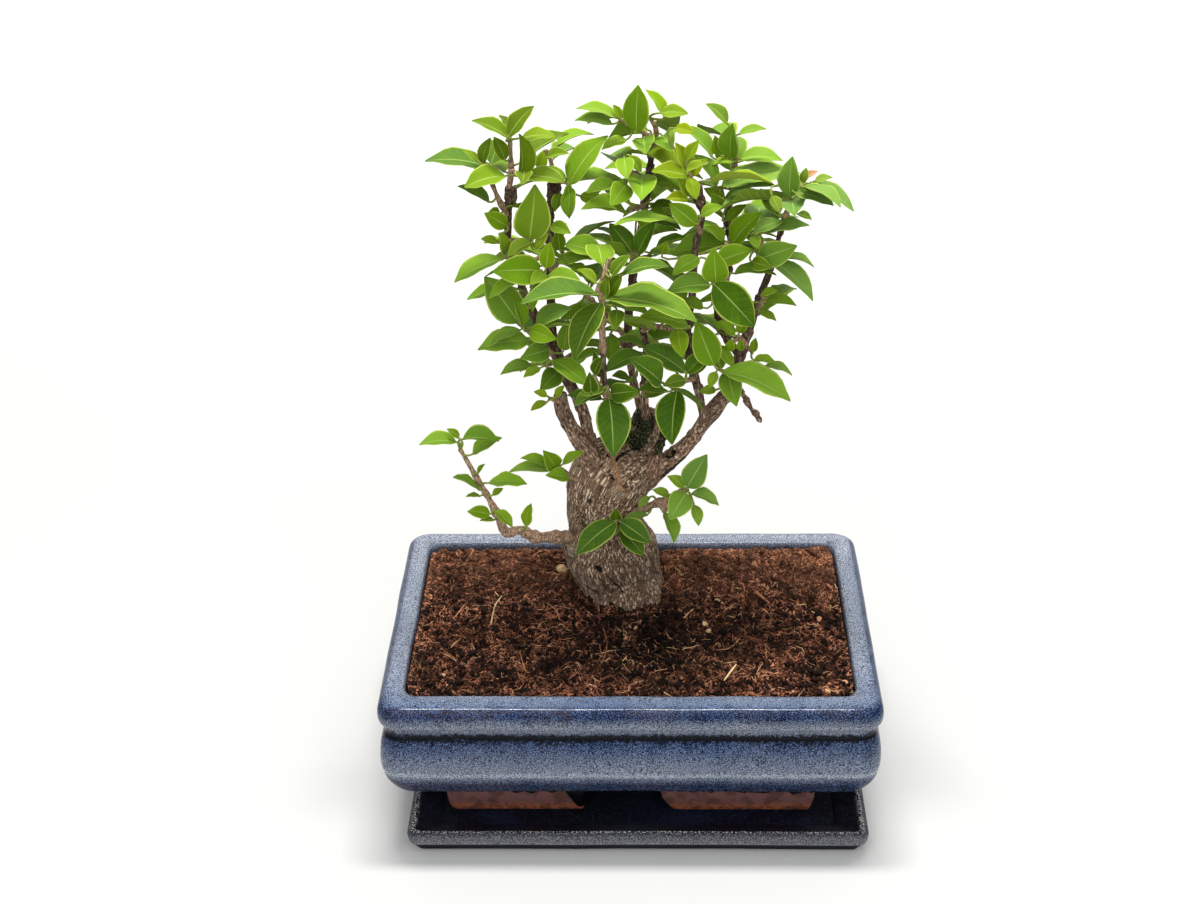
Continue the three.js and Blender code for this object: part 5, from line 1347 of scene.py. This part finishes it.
def blade_grid():
    """Places on one blade: share along, place across from -1 to 1, and 1 on top, 0 at the margins, -1
    below, row by row round the shell."""
    across = np.concatenate([ACROSS, ACROSS[-2:0:-1]])
    inside = np.ones(len(ACROSS) - 2)
    face = np.concatenate([[0], inside, [0], -inside])
    along = 0.5 - 0.5 * np.cos(np.linspace(0, math.pi, BLADE_ROWS) * 0.94 + 0.06)
    along = (along - along[0]) / (along[-1] - along[0]) * 0.985 + 0.004
    along, across = (a.ravel() for a in np.meshgrid(along, across, indexing="ij"))
    return along, across, np.tile(face, BLADE_ROWS)


def blade_points(foot, axis, normal, length, width, draw):
    """Points of whole blades, and the share along, place across and underside of each. The half width
    follows the 0.75th power of sin(pi·s^0.78), drawn in a little before the tip. Over the foot's plane the
    blade stands by its arch, a soft V across, waves of the margins, and a drooping tip, and it twists and
    bends aside a little."""
    s, t, face = blade_grid()
    n = len(foot)
    droop, twist, aside, phase, wavy, curl = (draw.normal(*pair, (n, 1)) for pair in BLADE_DRAWS.values())
    length, width = length[:, None], width[:, None]
    across = np.cross(axis, normal)
    outline = np.sin(math.pi * s ** 0.78) ** 0.75 * (1 - 0.25 * step(s, 0.75, 1.0)) + 0.02
    half = width / 2 * outline
    out = half * t * np.cos(LEAF_FOLD)
    soft = np.sqrt(t * t + 0.03) - math.sqrt(0.03)
    ripple = wavy * width * t * t * np.sin(2 * math.pi * (2.1 * s + phase + 0.31 * np.sign(t)))
    rise = (LEAF_BOW * length * 4 * s * (1 - s) + half * soft * (math.sin(LEAF_FOLD) + curl)
            - droop * length * s ** 3 + ripple * step(s, 0.0, 0.25) * (1 - step(s, 0.8, 1.0)))
    ridge = np.where(face < 0, 0.5 * (1 - 0.8 * s) * np.exp(-(t / 0.12) ** 2), 0)
    groove = np.where(face > 0, 0.18 * np.exp(-(t / 0.12) ** 2), 0)
    rise = rise + SHELL * face * (1 - t * t * 0.7) - ridge - groove
    turn = twist * (s - 0.2)
    side = out * np.cos(turn) - rise * np.sin(turn) + aside * length * s * s
    lift = out * np.sin(turn) + rise * np.cos(turn)
    points = (foot[:, None] + axis[:, None] * (s * length)[..., None]
              + across[:, None] * side[..., None] + normal[:, None] * lift[..., None])
    start = foot - axis * 0.25
    tip = foot + axis * length + normal * (-droop * length) + across * (aside * length)
    blade = np.vstack([np.stack([s, t, 0.5 - 0.5 * face], -1), [(0.0, 0.0, 0.5), (1.0, 0.0, 0.5)]])
    return np.concatenate([points, start[:, None], tip[:, None]], 1), blade


def blade_faces():
    """Quads and end triangles of one blade's shell; they face outwards."""
    around = 2 * len(ACROSS) - 2
    return grid_quads(BLADE_ROWS, around, True)[:, ::-1], fans(BLADE_ROWS, around)[:, ::-1]


# Leaves of some shoots: how much lighter they are than the rest, or darker below 0, how young they are, and
# how much bluish painted sheen they get.
TONE = {"hanging_centre": -1.0, "hanging_right": -0.8, "trunk_front": -1.2, "left_middle": 0.2,
        "crown_left": -0.9, "crown_left_side": -0.5, "heroes_centre": -0.7, "centre_bottom": -0.5,
        "centre_dark": -0.5, "left_bottom": -0.3, "heroes_right": -0.4, "left_upper": -0.3,
        "crown_right_side": -0.3, "centre_lower": -0.2}
YOUTH = {"crown_left": 0.25, "crown_left_side": 0.1, "centre_right": 0.4, "heroes_centre": 0.12,
         "centre_lower": 0.2, "left_cut": 0.2, "crown_centre": 0.1, "back_crown": 0.2, "left_upper": 0.3}
PAINTED_SHEEN = {"crown_right_side": 0.7, "right_upper": 0.6, "left_low": 0.5, "left_upper": 0.5,
         "lower_right": 0.4, "trunk_right": 0.9, "crown_right": 0.4}
DRIED = {"crown_right_side"} # shoots whose last leaf has dried up

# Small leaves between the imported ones: foot and tip as places of the frame, depth in mm, width in
# frame units, and how far the blade leans back from facing the eye, in degrees.
SMALL = {
    "centre_right": [(690, 171, 676, 142, 18, 17, 35), (692, 176, 706, 158, 20, 13, 45)],
    "crown_left_back": [(566, 178, 534, 175, 36, 20, 40), (568, 184, 571, 217, 30, 13, 10)],
    "crown_right": [(722, 202, 704, 188, 32, 14, 30), (727, 220, 746, 204, 34, 13, 40)],
    "heroes_centre": [(609, 296, 622, 272, -10, 15, 25), (606, 292, 608, 272, -8, 10, 10)],
    "left_low": [(564, 350, 569, 319, 16, 17, 15)],
    "crown_right_side": [(803, 178, 818, 171, 24, 8, 30)],
    "hanging_centre": [(601, 377, 594, 352, 2, 12, 15), (602, 399, 567, 396, 8, 15, 50),
                       (612, 398, 641, 391, 2, 19, 35)],
    "hanging_right": [(691, 372, 711, 352, 16, 17, 20)],
    "centre_bottom": [(646, 396, 668, 390, 18, 14, 45)],
    "lower_right": [(719, 345, 732, 368, 14, 12, 20)],
    "centre_side": [(649, 203, 667, 226, 42, 12, 50), (640, 205, 622, 216, 38, 9, 60)],
}


def small_leaves(rows):
    """Foot, axis, normal, length and width of leaves listed one by one. The normal is the direction to the
    eye, leant back by an angle towards straight up and made square to the leaf's axis."""
    rows = np.array(rows, float).reshape(-1, 7)
    foot, tip = place(rows[:, 0], rows[:, 1], rows[:, 4]), place(rows[:, 2], rows[:, 3], rows[:, 4])
    lean = np.radians(rows[:, 6:])
    facing = np.cos(lean) * -AHEAD + np.sin(lean) * np.array([0, 0, 1.0])
    length = np.linalg.norm(tip - foot, axis=1)
    axis = (tip - foot) / length[:, None]
    normal = unit(facing - axis * (facing * axis).sum(1, keepdims=True))
    return foot, axis, normal, length, span(rows[:, 5], foot)


def add_stems(skin, routes, thick, slim):
    """Brown stems that thin evenly along their routes and swell by the smooth field; young at the tip."""
    for route in routes:
        share = np.linspace(0, 1, len(route))
        radius = (thick + (slim - thick) * share) * (1 + (field(route, 3.2, 41) - 0.45) * KNOB)
        points, quads, caps = tube(route, radius, STEM_SIDES)
        young = step(np.append(np.repeat(share, STEM_SIDES), [0, 1]), 0.8, 1.6)
        skin.add(points, quads, caps, finish=1, blade=np.zeros((len(points), 3)),
                 leaf=np.column_stack([young, young * 0, young * 0]))


def add_stalks(skin, spots, foot, axis):
    """Green stalks: each leaves the nearest spot of the stems and bends into line with its blade."""
    t = np.linspace(0, 1, 6)[:, None]
    for at, along in zip(foot, axis):
        root = spots[np.linalg.norm(spots - at, axis=1).argmin()]
        corner = at - along * 0.5 * np.linalg.norm(at - root)
        path = bent(root, corner, at + along * 0.6, t)
        points, quads, caps = tube(path, np.linspace(*STALK, len(t)), STALK_SIDES)
        skin.add(points, quads, caps, finish=1, blade=np.zeros((len(points), 3)),
                 leaf=np.tile([0.85, 0, 0], (len(points), 1)))


def leaf_numbers(name, normal, length, draw):
    """Tone, youth and painted sheen of a shoot's leaves, drawn about the shoot's own. Level leaves are
    painted lighter and bluer, a painted sheen of the bright sky they face, and small ones are younger."""
    count = len(length)
    level = step(normal[:, 2], 0.35, 0.95)
    youth = YOUTH.get(name, 0.05) * draw.uniform(0.4, 1.6, count) + 0.25 * step(length, 16.0, 7.0)
    youth = np.clip(youth, 0, 1)
    # level leaves get a painted sheen: lighter here, bluer in the next lines
    tone = draw.normal(0.5, 0.25, count) + 0.3 * level + TONE.get(name, 0.0)
    painted_sheen = PAINTED_SHEEN.get(name, 0.15) * draw.uniform(0.3, 1.5, count) + 0.35 * level
    painted_sheen = np.clip(painted_sheen * (1 - youth), 0, 1)
    if name in DRIED:
        youth[-1] = 2.0
    return np.column_stack([np.clip(tone, -1, 1), youth, painted_sheen])


def make_shoot(name, number, leaf, twig):
    """One shoot: brown stems, green stalks, and a blade over each packed one and each small one."""
    draw = np.random.default_rng(1000 + number)
    node = f"shoot_{name}"
    foot, axis, normal, length, width = (
        np.concatenate(pair) for pair in zip(blades_of(node), small_leaves(SMALL.get(name, []))))
    routes = [eased(place(*np.array(stem, float).T), 10) for stem in STEMS[name]]
    skin = Skin()
    add_stems(skin, routes, *STOUT.get(name, TWIG))
    add_stalks(skin, np.vstack(routes), foot, axis)
    points, places = blade_points(foot, axis, normal, length, width, draw)
    count, each = points.shape[:2]
    quads, caps = (for_each(faces, count, each) for faces in blade_faces())
    skin.add(points.reshape(-1, 3), quads, caps, blade=np.tile(places, (count, 1)),
             leaf=np.repeat(leaf_numbers(name, normal, length, draw), each, axis=0))
    piece(f"leafy_{name}", skin.mesh(f"leafy_{name}"), [leaf, twig], "leaf", node)


# ------------------------------------------------------------------ camera, light, floor

def set_camera():
    """Camera at the eye point, turned as the frame is."""
    data = bpy.data.cameras.new("camera")
    data.sensor_fit, data.sensor_width = "HORIZONTAL", 36.0
    data.lens = REACH / FRAME_WIDE * data.sensor_width
    data.clip_start, data.clip_end = 0.01, 20.0
    camera = bpy.data.objects.new("camera", data)
    turn = Matrix([(*row,) for row in np.stack([RIGHT, UP, -AHEAD], 1)]).to_4x4()
    camera.matrix_world = Matrix.Translation(Vector(EYE * MM)) @ turn
    bpy.context.scene.collection.objects.link(camera)
    bpy.context.scene.camera = camera


def make_floor():
    """Pale table that curves up into a pale wall behind: a quarter circle between two flat runs."""
    paint = Shader("pale_table", specular_ior_level=0.3)
    here = paint.here()
    mottle = paint.noise(here, 300.0, 3.0)
    _, deep, _ = paint.axes(here)
    color = paint.mix(deep.between(200.0, 1250.0), rgb(194, 194, 193), rgb(240, 240, 239))
    paint.set(Base_Color=paint.mix(mottle * 0.1, color, rgb(225, 225, 224)), Roughness=0.7)
    half, front, back, high, bend = 3000.0, -1500.0, 900.0, 2200.0, 350.0
    angle = np.linspace(0, math.pi / 2, 24)
    line = np.vstack([(front, 0.0), np.column_stack([back + bend * np.sin(angle),
                                                     bend - bend * np.cos(angle)]), (back + bend, high)])
    points = np.concatenate([np.column_stack([np.full(len(line), x), line]) for x in (-half, half)])
    skin = Skin()
    skin.add(points, grid_quads(2, len(line), False)[:, ::-1])
    floor = bpy.data.objects.new("table", skin.mesh("table"))
    floor.data.materials.append(paint.material)
    bpy.context.scene.collection.objects.link(floor)


def add_light(name, spot, aim, size, power, color):
    """Rectangular lamp of a size in mm at a spot, turned to a place."""
    data = bpy.data.lights.new(name, "AREA")
    data.shape, data.size, data.size_y = "RECTANGLE", size[0] * MM, size[1] * MM
    data.energy, data.color = power, color
    lamp = bpy.data.objects.new(name, data)
    lamp.location = Vector(spot) * MM
    lamp.rotation_euler = (Vector(aim) - Vector(spot)).to_track_quat("-Z", "Y").to_euler()
    bpy.context.scene.collection.objects.link(lamp)


def set_light():
    """Soft light from above and a little behind, a weaker one in front, and a pale sky all round."""
    world = bpy.data.worlds.new("studio")
    world.use_nodes = True
    world.node_tree.nodes["Background"].inputs["Color"].default_value = (0.93, 0.96, 1.0, 1)
    world.node_tree.nodes["Background"].inputs["Strength"].default_value = 0.54
    bpy.context.scene.world = world
    add_light("above", (10, 250, 1700), (0, 0, 80), (760, 160), 31.0, (1.0, 0.98, 0.95))
    add_light("front", (100, -1150, 1150), (0, 0, 60), (2400, 1300), 18.0, (1.0, 0.99, 0.97))
    bpy.context.scene.view_settings.view_transform = "Standard"


# ------------------------------------------------------------------ assembly

set_camera()
make_floor()
set_light()

leaf_paint, twig_paint, soil_paint = leaf_finish(), twig_finish(), soil_finish()
make_tray(tray_finish())
make_pot(glaze_finish())
make_feet(terracotta_finish())
make_soil(soil_paint)
make_fibres(soil_paint)
make_crumbs(soil_paint)
make_litter(soil_paint)
make_wood(bark_finish())
for number, name in enumerate(STEMS):
    make_shoot(name, number, leaf_paint, twig_paint)
screen_paint = screen_finish()
for side in ("left", "right"):
    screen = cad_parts[f"drain_screen_{side}"]
    screen.data.materials.clear()
    screen.data.materials.append(screen_paint)
